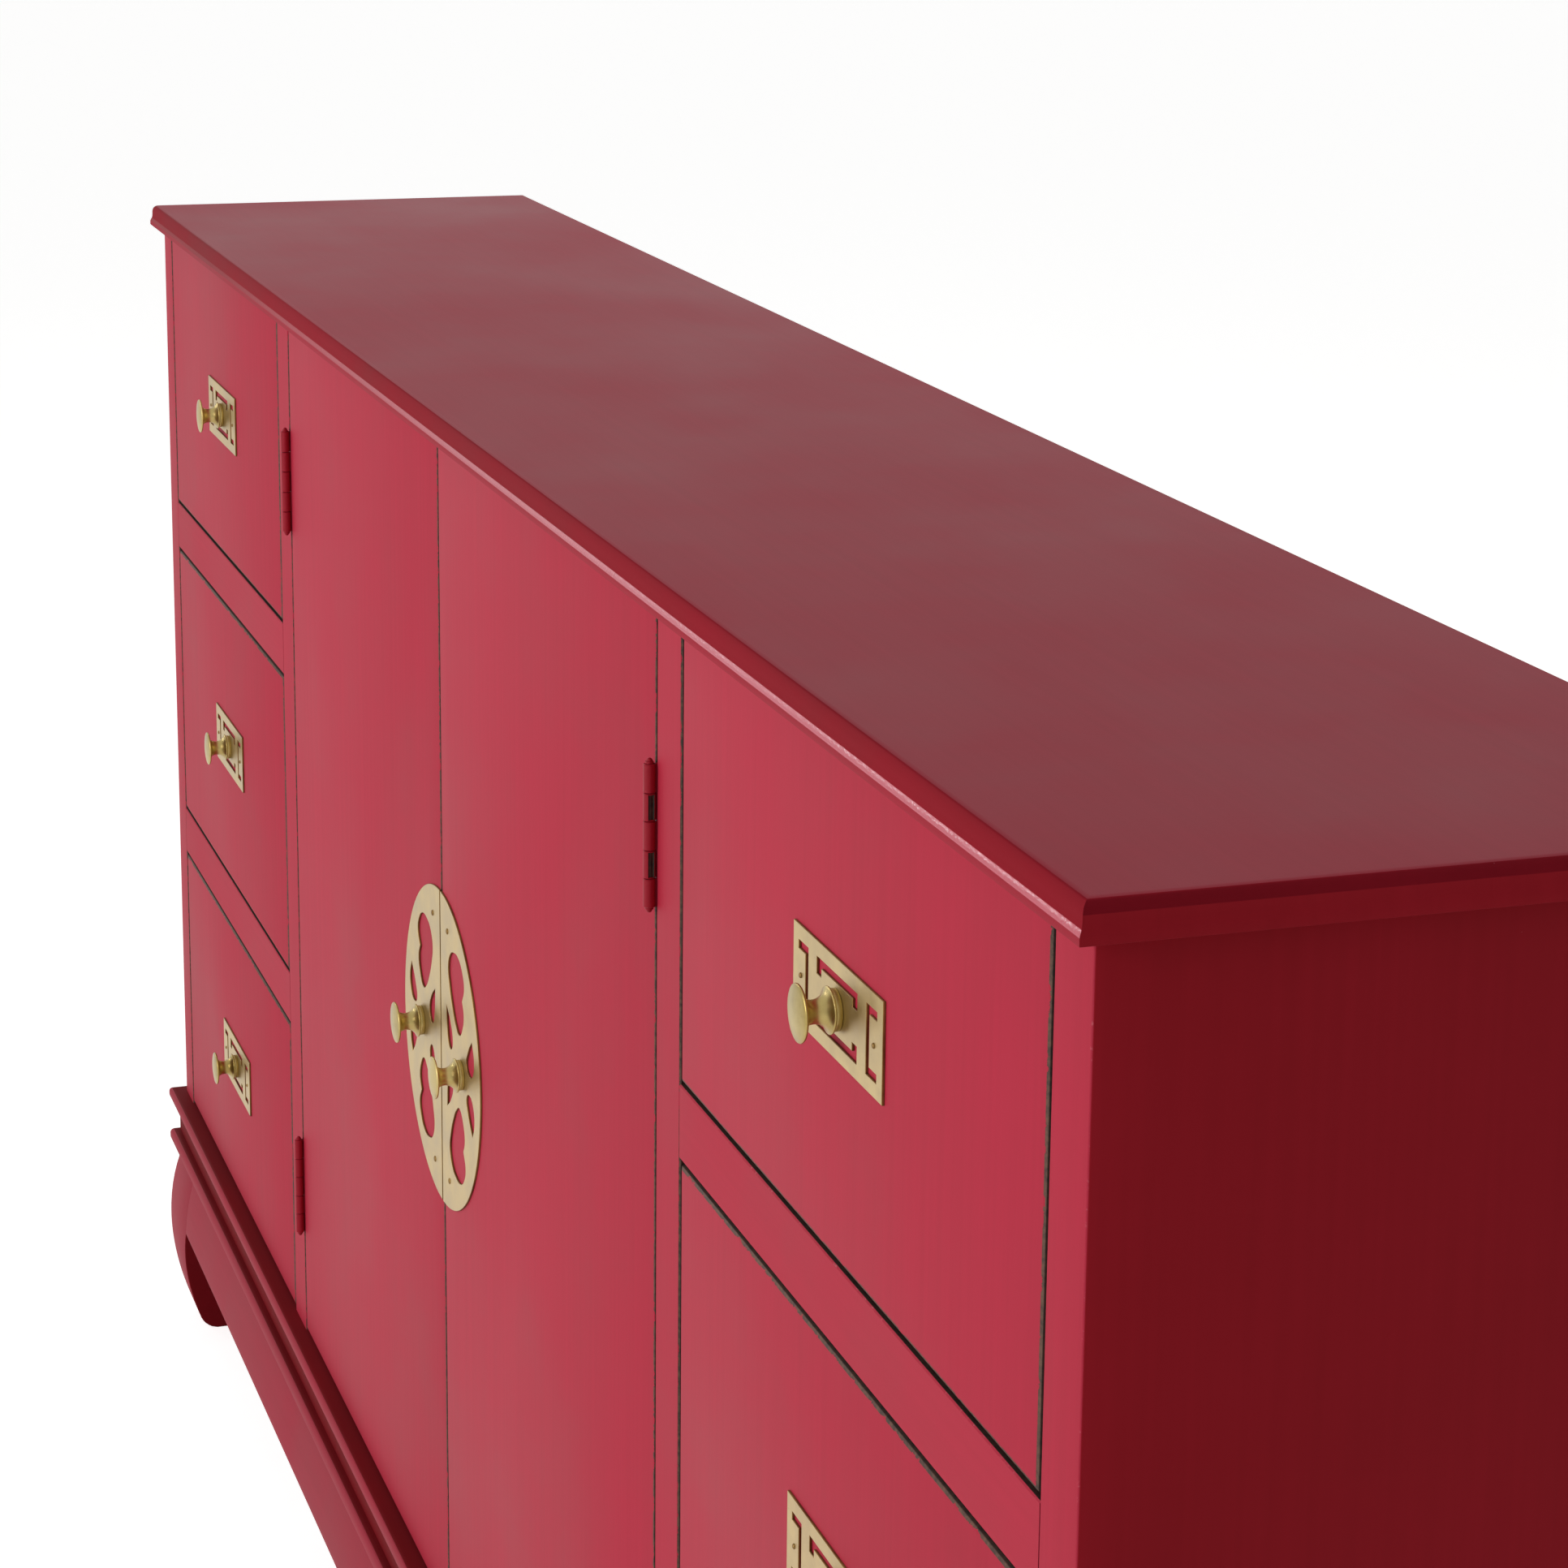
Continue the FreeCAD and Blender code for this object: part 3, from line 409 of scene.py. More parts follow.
def in_front(edge):
    """Whether an edge lies in the plane of the front."""
    return middle_of(edge).y < front + MM


def soften(piece, width, steps=2, wanted=is_sharp, slot=0):
    """Rounds the edges that pass a test; the new faces take a material slot."""
    open_piece(piece)
    pick(piece, "EDGE", wanted)
    bpy.ops.mesh.bevel(offset=width, segments=steps, affect="EDGES", material=slot)
    close_piece()
    return piece


def cut_board(name, low, high):
    """A board between two corners, sawn from a cube."""
    low, high = Vector(low), Vector(high)
    bpy.ops.object.select_all(action="DESELECT")
    bpy.ops.mesh.primitive_cube_add(size=1, location=(low + high) / 2, scale=high - low)
    return named(name)


def stacked(name, levels):
    """A form raised from a flat foot: rectangles (x low, x high, y low, y high, z) from below upwards."""
    x0, x1, y0, y1, _ = levels[0]
    middles = [Vector(((level[0] + level[1]) / 2, (level[2] + level[3]) / 2, level[4])) for level in levels]
    bpy.ops.object.select_all(action="DESELECT")
    bpy.ops.mesh.primitive_plane_add(size=1, location=middles[0])
    piece = named(name)
    open_piece(piece)
    bpy.ops.mesh.select_all(action="SELECT")
    bpy.ops.transform.resize(value=(x1 - x0, y1 - y0, 1), center_override=middles[0])
    for last, new, old_middle, new_middle in zip(levels, levels[1:], middles, middles[1:]):
        wider = ((new[1] - new[0]) / (last[1] - last[0]), (new[3] - new[2]) / (last[3] - last[2]), 1)
        bpy.ops.mesh.extrude_region_move(TRANSFORM_OT_translate={"value": new_middle - old_middle})
        bpy.ops.transform.resize(value=wider, center_override=new_middle)
    close_piece()
    return mended(piece)


TURNS = {"forwards": (math.pi / 2, 0, 0), "upwards": (0, 0, 0)}
WAYS = {"forwards": Vector((0, -1, 0)), "upwards": Vector((0, 0, 1))}


def turned(name, rings, way, sides):
    """A form turned on a lathe about the origin: rings of (radius, distance along the axis)."""
    radius, start = rings[0]
    axis = WAYS[way]
    bpy.ops.object.select_all(action="DESELECT")
    bpy.ops.mesh.primitive_circle_add(vertices=sides, radius=radius, fill_type="NGON",
                                      location=axis * start, rotation=TURNS[way])
    piece = named(name)
    open_piece(piece)
    bpy.ops.mesh.select_all(action="SELECT")
    for (last_radius, last), (new_radius, new) in zip(rings, rings[1:]):
        size = new_radius / last_radius
        wider = (size, 1, size) if way == "forwards" else (size, size, 1)
        bpy.ops.mesh.extrude_region_move(TRANSFORM_OT_translate={"value": axis * (new - last)})
        bpy.ops.transform.resize(value=wider, center_override=axis * new)
    close_piece()
    return mended(piece)


def copied(piece, name, place):
    """A copy with its own mesh, moved to a place."""
    twin = piece.copy()
    twin.data = piece.data.copy()
    twin.name = name
    twin.data.name = name
    twin.data.transform(Matrix.Translation(place))
    bpy.context.scene.collection.objects.link(twin)
    return twin


def flipped(piece, name):
    """A copy on the other side of the middle plane."""
    twin = copied(piece, name, Vector())
    twin.data.transform(Matrix.Diagonal((-1, 1, 1, 1)))
    return mended(twin)


def joined(pieces, name):
    """Several meshes as one piece."""
    bpy.ops.object.select_all(action="DESELECT")
    for piece in pieces:
        piece.select_set(True)
    bpy.context.view_layer.objects.active = pieces[0]
    bpy.ops.object.join()
    pieces[0].name = name
    pieces[0].data.name = name
    return pieces[0]


def paint(piece, *materials):
    """Gives a piece its materials, in the order of its slots."""
    piece.data.materials.clear()
    for material in materials:
        piece.data.materials.append(material)
    return piece


def stain_faces(piece, slot, wanted):
    """Puts the faces that pass a test on a material slot."""
    for face in piece.data.polygons:
        if wanted(face):
            face.material_index = slot


def smooth(piece, degrees=35):
    """Shades a piece smoothly over the edges that are blunter than an angle."""
    choose(piece)
    bpy.ops.object.shade_smooth_by_angle(angle=math.radians(degrees))
    return piece


def fit(piece, body, slot, *nodes):
    """Lets a finished piece stand for its solids and move with its body."""
    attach(piece, body)
    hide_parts(*nodes)


# Top slab

SLAB_PROFILE = [(inset * MM, height * MM) for inset, height in (
    (0.7, 0), (0.2, 0.2), (0, 0.7), (0, 2.6), (0.06, 3.2), (0.22, 3.8), (0.48, 4.4), (0.82, 5.0),
    (1.1, 5.5), (1.28, 6.0), (1.42, 7.2), (1.5, 8.6), (1.52, 10.0), (1.65, 11.2), (1.95, 12.3),
    (2.45, 13.2), (3.1, 13.95), (3.9, 14.5), (4.8, 14.85), (5.8, 15.0))]

# Heights above the slab's underside: its bead, and where its ends turn darker
SLAB_BEAD = (3.2 * MM, 5.7 * MM)
SLAB_END_SHADE = 10.5 * MM


def moulded_levels(low, high, profile):
    """Levels of a board with moulded front and ends: pairs of (set back, height above its foot)."""
    return [(low.x + inset, high.x - inset, low.y + inset, high.y, low.z + height)
            for inset, height in profile]


def top_slab():
    """The slab: a lip with a glossy bead on it, a hollowed edge above, and the broad top. Its lip, edge, top
    and ends take darker reds as painted shade, and its bead a painted highlight.
    """
    low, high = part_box("top_panel")
    slab = stacked("top_slab", moulded_levels(low, high, SLAB_PROFILE))
    # The first slot's darker lip red stays on the lip and underside as painted shade
    paint(slab, shaded_lip_lacquer, bead_lacquer, shaded_edge_lacquer, shaded_top_lacquer, shaded_side_lacquer)
    bead_low, bead_high = low.z + SLAB_BEAD[0], low.z + SLAB_BEAD[1]
    # The bead takes the lacquer with the painted highlight
    stain_faces(slab, 1, lambda face: bead_low < face.center.z < bead_high)
    # The hollowed edge and the upper part of the ends take crimson, painted shade
    stain_faces(slab, 2, lambda face: face.center.z > bead_high or abs(face.normal.x) > SIDEWAYS)
    # Up-facing faces take the top's darker, greyer red: painted shade and painted reflection
    stain_faces(slab, 3, lambda face: face.normal.z > FACE_UP)
    # The lower part of the slab's ends takes the sides' darker red, painted shade
    end_high = low.z + SLAB_END_SHADE
    stain_faces(slab, 4, lambda face: abs(face.normal.x) > SIDEWAYS and face.center.z < end_high)
    fit(smooth(slab, 30), "carcass", "red_lacquer", "top_panel")


# Front frame and sides

POST_CORNER, POST_ARRIS, RAIL_ARRIS, SIDE_ARRIS = 1.0 * MM, 0.9 * MM, 0.6 * MM, 1.0 * MM


def frame_board(node, gap_sides):
    """A post of the front: dark stain on the sides and arrises that line a gap, a soft outer corner."""
    low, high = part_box(node)
    board = cut_board(node.replace("_stile", "_post"), low, high)
    paint(board, front_lacquer, rim_lacquer, edge_stain, shaded_side_lacquer)
    centre = (low + high) / 2

    def lines_gap(offset):
        return math.copysign(1, offset) in gap_sides

    def is_front_arris(edge):
        return in_front(edge) and is_upright(edge)

    def is_gap_arris(edge):
        return is_front_arris(edge) and lines_gap(middle_of(edge).x - centre.x)

    # The soft outer corner takes pale chips: wear and a painted highlight
    soften(board, POST_CORNER, 3, lambda edge: is_front_arris(edge) and not is_gap_arris(edge), slot=1)
    soften(board, POST_ARRIS, 1, is_gap_arris, slot=2)
    # Outer side faces of the posts take the sides' darker red, painted shade
    stain_faces(board, 3, lambda face: abs(face.normal.x) > FACE_UP)
    stain_faces(board, 2, lambda face: abs(face.normal.x) > FACE_UP and lines_gap(face.normal.x))
    fit(smooth(board), "carcass", "red_lacquer", node)


def drawer_rail(side, lower, upper):
    """The rail between two drawers: stain above and below it, arrises with pale chips that are wear and a
    painted highlight.
    """
    edges = sorted(corner.x for post in ("inner", "end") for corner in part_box(f"{side}_{post}_stile"))
    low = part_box(f"{side}_{lower}_drawer_front")[1].z + FRONT_GAP
    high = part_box(f"{side}_{upper}_drawer_front")[0].z - FRONT_GAP
    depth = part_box("drawer_rails")[1].y
    rail = cut_board(f"{side}_{upper}_rail", (edges[1], front, low), (edges[2], depth, high))
    paint(rail, rail_lacquer, edge_stain, rim_lacquer)
    soften(rail, RAIL_ARRIS, 1, lambda edge: in_front(edge) and is_level(edge), slot=2)
    stain_faces(rail, 1, lambda face: abs(face.normal.z) > FACE_UP)
    return rail


def front_frame():
    """Corner posts, inner posts, rails and sides."""
    for side, sign in SIDES.items():
        frame_board(f"{side}_end_stile", (-sign,))
        frame_board(f"{side}_inner_stile", (-1, 1))
    rails = [drawer_rail(side, lower, upper) for side in SIDES for lower, upper in zip(ROWS, ROWS[1:])]
    fit(smooth(joined(rails, "drawer_divider_rails")), "carcass", "red_lacquer", "drawer_rails")
    for side in SIDES:
        low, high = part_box(f"{side}_side_panel")
        panel = cut_board(f"{side}_side_board", low, high)
        soften(panel, SIDE_ARRIS, 2, lambda edge: middle_of(edge).y > back - MM and is_upright(edge))
        # Side boards in the sides' darker red, painted shade
        paint(panel, shaded_side_lacquer)
        fit(smooth(panel), "carcass", "red_lacquer", f"{side}_side_panel")


# Base: two ledges, aprons and feet

LEDGE_NOSES = {"upper": 4.0 * MM, "lower": 4.8 * MM}
BULGE_REACH, BULGE_HEIGHT, BULGE_RADIUS = 13 * MM, 78 * MM, 190 * MM
APRON_INNER, APRON_LOW = 15 * MM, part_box("front_apron")[0].z
FOOT_TOE, FOOT_WIDTH, FOOT_CURVE = 46 * MM, 58 * MM, 150 * MM
APRON_ARRIS, FOOT_ARRIS = 1.2 * MM, 1.1 * MM
TOE_RADIUS = 9 * MM
TOE_LEVELS = [height * MM for height in (0, 1.2, 2.6, 4.5, 6.5)]


def ledge_profile(thick, nose):
    """A rounded nose above and below, with a short upright part between."""
    steps = 6
    lower, upper = [], []
    for step in range(steps + 1):
        angle = math.pi / 2 * step / steps
        lower.append((nose * (1 - math.sin(angle)), nose * (1 - math.cos(angle))))
        upper.append((nose * (1 - math.cos(angle)), thick - nose * (1 - math.sin(angle))))
    return lower + upper


def base_ledges():
    """The two rounded ledges round the base."""
    for level, nose in LEDGE_NOSES.items():
        low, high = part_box(f"{level}_base_moulding")
        profile = ledge_profile(high.z - low.z, nose)
        ledge = stacked(f"{level}_ledge", moulded_levels(low, high, profile))
        # The ledges are painted in the base's darker red, painted shade
        paint(ledge, shaded_base_lacquer, recess_shade_lacquer)
        # Up-facing tops of the ledges take the darker recess red as painted shade
        stain_faces(ledge, 1, lambda face: face.normal.z > FACE_UP)
        fit(smooth(ledge), "carcass", "red_lacquer", f"{level}_base_moulding")


def bulge(height):
    """How far the base stands proud of the carcass at a height."""
    return BULGE_REACH - BULGE_RADIUS + math.sqrt(BULGE_RADIUS ** 2 - (height - BULGE_HEIGHT) ** 2)


def foot_inner(height):
    """Inner edge of a foot from the carcass corner: a hollow curve up to the apron, upright above it."""
    if height >= APRON_LOW:
        return FOOT_WIDTH
    tip, knee = Vector((FOOT_TOE, 0)), Vector((FOOT_WIDTH, APRON_LOW))
    chord = knee - tip
    away = Vector((chord.y, -chord.x)).normalized()
    centre = (tip + knee) / 2 + away * math.sqrt(FOOT_CURVE ** 2 - chord.length_squared / 4)
    return centre.x - math.sqrt(FOOT_CURVE ** 2 - (height - centre.y) ** 2)


def heights_between(low, high, steps):
    """Heights from one to another in even steps."""
    return [low + (high - low) * step / steps for step in range(steps + 1)]


def is_low_arris(edge):
    """Whether an edge is a sharp one along the foot of an apron."""
    return is_sharp(edge) and middle_of(edge).z < APRON_LOW + MM


def aprons():
    """Bulging boards between the feet."""
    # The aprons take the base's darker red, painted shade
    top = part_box("front_apron")[1].z
    levels = heights_between(APRON_LOW, top, 8)
    low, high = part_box("front_apron")
    apron = stacked("front_apron_board", [
        (low.x, high.x, front - bulge(level), front + APRON_INNER, level) for level in levels])
    soften(apron, APRON_ARRIS, 3, lambda edge: is_low_arris(edge) and is_level(edge))
    fit(smooth(paint(apron, shaded_base_lacquer)), "carcass", "red_lacquer", "front_apron")
    low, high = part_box("right_apron")
    apron = stacked("right_apron_board", [
        (half_width - APRON_INNER, half_width + bulge(level), low.y, high.y, level) for level in levels])
    soften(apron, APRON_ARRIS, 3, is_low_arris)
    smooth(paint(apron, shaded_base_lacquer))
    fit(flipped(apron, "left_apron_board"), "carcass", "red_lacquer", "left_apron")
    fit(apron, "carcass", "red_lacquer", "right_apron")
    low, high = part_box("back_apron")
    apron = soften(cut_board("back_apron_board", low, high), APRON_ARRIS, 3)
    fit(smooth(paint(apron, shaded_base_lacquer)), "carcass", "red_lacquer", "back_apron")


def toe(height):
    """How far the rounded toe of a foot draws back at a height."""
    below = max(TOE_RADIUS - height, 0)
    return TOE_RADIUS - math.sqrt(TOE_RADIUS ** 2 - below ** 2)


def feet():
    """Bracket feet that swell below the ledge and draw in to the floor."""
    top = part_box("front_right_foot")[1].z
    levels = TOE_LEVELS + heights_between(TOE_RADIUS, APRON_LOW, 14)
    levels += heights_between(APRON_LOW, top, 6)[1:]
    for place in ("front", "back"):
        sections = []
        for level in levels:
            x = (half_width - foot_inner(level), half_width + bulge(level) - toe(level))
            y = (front - bulge(level) + toe(level), front + foot_inner(level))
            if place == "back":
                y = (back - foot_inner(level), back)
            sections.append((*x, *y, level))
        foot = stacked(f"{place}_right_bracket_foot", sections)
        soften(foot, FOOT_ARRIS, 3, lambda edge: is_sharp(edge) and middle_of(edge).z < top - MM)
        # The feet take the base's darker red, painted shade
        paint(mended(foot), shaded_base_lacquer, recess_shade_lacquer)
        inwards = 1 if place == "front" else -1
        # Inner faces of the feet take the darker recess red as painted shade
        stain_faces(foot, 1, lambda face: face.normal.x < -SIDEWAYS or face.normal.y * inwards > SIDEWAYS)
        smooth(foot)
        fit(flipped(foot, f"{place}_left_bracket_foot"), "carcass", "red_lacquer", f"{place}_left_foot")
        fit(foot, "carcass", "red_lacquer", f"{place}_right_foot")


# Doors and drawer fronts

DRAWER_ARRIS, DOOR_ARRIS = 2.0 * MM, 1.1 * MM
DRILL_AHEAD, DRILL_BEHIND = 5 * MM, -30 * MM


def front_leaf(name, node, hole, arris, inner):
    """A door or drawer front: soft stained arrises and sides, a hole for the knob's stem, its own back."""
    low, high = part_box(node)
    leaf = paint(cut_board(name, low, high), front_lacquer, edge_stain, inner)
    soften(leaf, arris, 2, in_front, slot=1)
    drill = turned("drill", [(STEM_HOLE, DRILL_AHEAD), (STEM_HOLE, DRILL_BEHIND)], "forwards", sides=24)
    drill.data.transform(Matrix.Translation((hole[0], front, hole[1])))
    bore = leaf.modifiers.new("stem_hole", "BOOLEAN")
    bore.operation = "DIFFERENCE"
    bore.object = drill
    choose(leaf)
    bpy.ops.object.modifier_apply(modifier=bore.name)
    bpy.data.objects.remove(drill)
    stain_faces(leaf, 1, lambda face: abs(face.normal.y) < FLAT_ON)
    stain_faces(leaf, 2, lambda face: face.normal.y > FLAT_ON)
    return smooth(leaf)


def middle_of_node(node):
    """The middle of a solid's box."""
    low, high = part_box(node)
    return (low + high) / 2


def fronts():
    """Six drawer fronts and two doors."""
    for drawer in DRAWERS:
        spot = middle_of_node(f"{drawer}_knob")
        hole = (spot.x, spot.z)
        leaf = front_leaf(f"{drawer}_face", f"{drawer}_front", hole, DRAWER_ARRIS, wood_along_x)
        fit(leaf, drawer, "red_lacquer", f"{drawer}_front")
    for side in SIDES:
        spot = middle_of_node(f"{side}_door_knob")
        hole = (spot.x, spot.z)
        leaf = front_leaf(f"{side}_door_leaf", f"{side}_door_panel", hole, DOOR_ARRIS, front_lacquer)
        fit(leaf, f"{side}_door", "red_lacquer", f"{side}_door_panel")


# Brass

PLATE_THICK = 1.2 * MM
PLATE_CHAMFER = 0.2 * MM
NAIL_PROUD = 1.05 * PLATE_THICK
CURVE_STEPS = 8


def pierced_sheet(name, loops):
    """Sheet brass cut to an outline and its openings: loops of (points, whether the line is smooth)."""
    drawing = bpy.data.curves.new(name, "CURVE")
    drawing.dimensions = "2D"
    drawing.fill_mode = "BOTH"
    drawing.extrude = PLATE_THICK / 2 - PLATE_CHAMFER
    drawing.bevel_depth = PLATE_CHAMFER
    drawing.bevel_resolution = 0
    drawing.offset = -PLATE_CHAMFER
    drawing.resolution_u = CURVE_STEPS
    for points, is_curved in loops:
        line = drawing.splines.new("BEZIER")
        line.bezier_points.add(len(points) - 1)
        line.use_cyclic_u = True
        for knot, point in zip(line.bezier_points, points):
            corner = len(point) == 3 or not is_curved
            knot.co = (point[0], point[1], 0)
            knot.handle_left_type = knot.handle_right_type = "VECTOR" if corner else "AUTO"
    sheet = bpy.data.objects.new(name, drawing)
    bpy.context.scene.collection.objects.link(sheet)
    choose(sheet)
    bpy.ops.object.convert(target="MESH")
    sheet = bpy.context.object
    sheet.data.transform(Matrix.Rotation(math.pi / 2, 4, "X"))
    sheet.data.transform(Matrix.Translation((0, -PLATE_THICK / 2, 0)))
    return mended(sheet)


def round_hole(x, radius):
    """Points of a round hole at a place on the plate's middle line."""
    steps = 12
    angles = [2 * math.pi * step / steps for step in range(steps)]
    return [(x + radius * math.cos(angle), radius * math.sin(angle)) for angle in angles]


NAIL_HEAD = [(radius * MM, height * MM) for radius, height in (
    (1.7, 1.1), (1.7, 1.35), (1.5, 1.65), (1.1, 1.88), (0.5, 1.99), (0.1, 2.0))]
SMALL_NAIL = 0.68
SMALL_NAIL_HEAD = [(radius * SMALL_NAIL, height) for radius, height in NAIL_HEAD]


def dark_edged(plate):
    """A plate with its nails: bright in front, dark on its cut edges and on the nails, which are proud."""
    paint(plate, plate_brass, darker_brass)
    stain_faces(plate, 1, lambda face: abs(face.normal.y) < FACE_UP or face.center.y < -NAIL_PROUD)
    return smooth(plate, 25)


PLATE_LENGTH, PLATE_HEIGHT, PLATE_BORDER = 103 * MM, 40 * MM, 6.3 * MM
PLATE_SLOT, PLATE_HEART, PLATE_LEG, PLATE_BAND = 3.4 * MM, 18 * MM, 5.4 * MM, 10 * MM
PLATE_NAIL_INSET = 9.4 * MM


def drawer_plate():
    """The oblong plate at the origin: a bracket line at each end, a line with turned ends above and below."""
    end, top = PLATE_LENGTH / 2, PLATE_HEIGHT / 2
    high = top - PLATE_BORDER
    far = end - PLATE_BORDER
    arch = PLATE_HEART + PLATE_LEG
    near = arch + PLATE_BAND
    inner, mid, low = near + PLATE_SLOT, high - PLATE_SLOT, high - 2 * PLATE_SLOT
    outline = [(-end, -top), (end, -top), (end, top), (-end, top)]
    bracket = [(near, high), (far, high), (far, mid), (inner, mid),
               (inner, -mid), (far, -mid), (far, -high), (near, -high)]
    line = [(-arch, high), (arch, high), (arch, low), (PLATE_HEART, low),
            (PLATE_HEART, mid), (-PLATE_HEART, mid), (-PLATE_HEART, low), (-arch, low)]
    loops = [(outline, False), (round_hole(0, STEM_HOLE), True)]
    for sign in (1, -1):
        loops.append(([(sign * x, z) for x, z in bracket], False))
        loops.append(([(x, sign * z) for x, z in line], False))
    sheet = pierced_sheet("plate_sheet", loops)
    nail = turned("plate_nail", SMALL_NAIL_HEAD, "forwards", sides=16)
    nail_place = end - PLATE_NAIL_INSET
    nails = [copied(nail, f"plate_nail_{sign}", (sign * nail_place, 0, 0)) for sign in (-1, 1)]
    bpy.data.objects.remove(nail)
    return dark_edged(joined([sheet] + nails, "drawer_plate_pattern"))


MEDALLION_RADIUS = 90 * MM
MEDALLION_NAIL = (17.5 * MM, 72 * MM)
DOOR_KNOB = 47 * MM

# Openings of the upper quarter of the medallion, as shares of its radius: a cloud, and two slits
CLOUD = ((0.36, 0.715), (0.475, 0.715), (0.575, 0.655), (0.615, 0.57), (0.56, 0.475, "barb"),
         (0.60, 0.40), (0.565, 0.30), (0.475, 0.235), (0.39, 0.27), (0.305, 0.36),
         (0.235, 0.475), (0.205, 0.58), (0.255, 0.67))
OUTER_SLIT = ((0.80, 0.30, "tip"), (0.85, 0.20), (0.83, 0.11),
              (0.745, 0.06), (0.655, 0.105), (0.695, 0.195))
INNER_SLIT = ((0.15, 0.325, "tip"), (0.255, 0.245), (0.31, 0.155),
              (0.285, 0.085), (0.22, 0.08), (0.165, 0.19))


def medallion_half():
    """The right half of the round plate at the origin, with its two nails."""
    edge = FRONT_GAP / 2
    rise = math.sqrt(MEDALLION_RADIUS ** 2 - edge ** 2)
    start = math.atan2(-rise, edge)
    steps = 24
    rim = [(edge, -rise, "corner")]
    for step in range(1, steps):
        angle = start - 2 * start * step / steps
        rim.append((MEDALLION_RADIUS * math.cos(angle), MEDALLION_RADIUS * math.sin(angle)))
    rim.append((edge, rise, "corner"))
    loops = [(rim, True), (round_hole(DOOR_KNOB, STEM_HOLE), True)]
    for opening in (CLOUD, OUTER_SLIT, INNER_SLIT):
        for sign in (1, -1):
            outline = [(x * MEDALLION_RADIUS, sign * z * MEDALLION_RADIUS, *mark)
                       for x, z, *mark in opening]
            loops.append((outline, True))
    sheet = pierced_sheet("medallion_sheet", loops)
    nail = turned("medallion_nail", NAIL_HEAD, "forwards", sides=16)
    x, z = MEDALLION_NAIL
    nails = [copied(nail, f"medallion_nail_{sign}", (x, 0, sign * z)) for sign in (-1, 1)]
    bpy.data.objects.remove(nail)
    return dark_edged(joined([sheet] + nails, "right_medallion_half"))


# A knob in millimetres: radii and distances from the front, from the end of its stem outwards
KNOB_STEM = [(2.45, -20), (2.45, 1.2)]
KNOB_FOOT = [(7.9, 1.2), (8.2, 1.35), (8.3, 1.7), (8.3, 3.3), (8.15, 3.65), (8.6, 3.85),
             (9.05, 3.9), (9.25, 4.1), (9.3, 4.35), (9.27, 4.6)]
KNOB_RIM = [(10.9, 15.75), (11.3, 15.85), (11.5, 16.15), (11.5, 16.5), (11.35, 16.8), (11.0, 16.98)]
KNOB_DOME, KNOB_DOME_SHARES = 18.2, (0.85, 0.66, 0.46, 0.26, 0.08)
KNOB_NECK, KNOB_NECK_PLACE = 4.7, 10.7
KNOB_BELL, KNOB_BELL_PLACE = 9.15, 4.75
KNOB_BACK, KNOB_BACK_PLACE = 7.2, 15.7


def hollow_curve(radius, place, steps):
    """Rings of a hollow from the neck out to a radius at a place, round like a plate's rim."""
    draw, length = radius - KNOB_NECK, abs(place - KNOB_NECK_PLACE)
    curve = (draw ** 2 + length ** 2) / (2 * draw)
    way = 1 if place > KNOB_NECK_PLACE else -1
    last = math.asin(length / curve)
    return [(KNOB_NECK + curve * (1 - math.cos(last * step / steps)),
             KNOB_NECK_PLACE + way * curve * math.sin(last * step / steps)) for step in range(steps + 1)]


def knob_profile():
    """Rings of a knob from the end of its stem to the middle of its domed face, in millimetres."""
    rings = KNOB_STEM + KNOB_FOOT
    rings += hollow_curve(KNOB_BELL, KNOB_BELL_PLACE, 10)[::-1]
    rings += hollow_curve(KNOB_BACK, KNOB_BACK_PLACE, 7)[1:]
    rings += KNOB_RIM
    dome_edge, dome_low = KNOB_RIM[-1]
    for share in KNOB_DOME_SHARES:
        rings.append((dome_edge * share, dome_low + (KNOB_DOME - dome_low) * (1 - share ** 2)))
    return [(radius * MM, distance * MM) for radius, distance in rings]


def brass_work():
    """Plates and knobs, each modelled once and copied to its place."""
    plate = drawer_plate()
    knob = smooth(paint(turned("knob_pattern", knob_profile(), "forwards", sides=48), knob_brass), 40)
    for drawer in DRAWERS:
        spot = middle_of_node(f"{drawer}_knob")
        place = (spot.x, front, spot.z)
        fit(copied(plate, f"{drawer}_fret_plate", place), drawer, "brass", f"{drawer}_plate")
        fit(copied(knob, f"{drawer}_pull", place), drawer, "brass", f"{drawer}_knob")
    for side in SIDES:
        spot = middle_of_node(f"{side}_door_knob")
        place = (spot.x, front, spot.z)
        fit(copied(knob, f"{side}_door_pull", place), f"{side}_door", "brass", f"{side}_door_knob")
    bpy.data.objects.remove(plate)
    bpy.data.objects.remove(knob)
    right_half = medallion_half()
    right_half.data.transform(Matrix.Translation((0, front, door_middle)))
    fit(flipped(right_half, "left_medallion_half"), "left_door", "brass", "left_medallion")
    fit(right_half, "right_door", "brass", "right_medallion")


# Hinges

BARREL_RADIUS, BARREL_HALF = 2.75 * MM, 32.5 * MM
KNUCKLE, KNUCKLE_GAP, KNUCKLE_SOFT = 2 * BARREL_HALF / 5, 0.3 * MM, 0.35 * MM
LEAF_THICK, LEAF_END = 0.9 * MM, 18.15 * MM

# Cap of a pin in millimetres: radii and heights above the middle of the barrel
PIN_CAP = [(1.1, 32.5), (1.75, 32.5), (1.9, 32.65), (1.9, 33.45), (1.7, 33.65), (1.35, 33.72), (1.39, 33.9),
           (1.27, 34.3), (0.98, 34.7), (0.6, 34.97), (0.1, 35.1)]


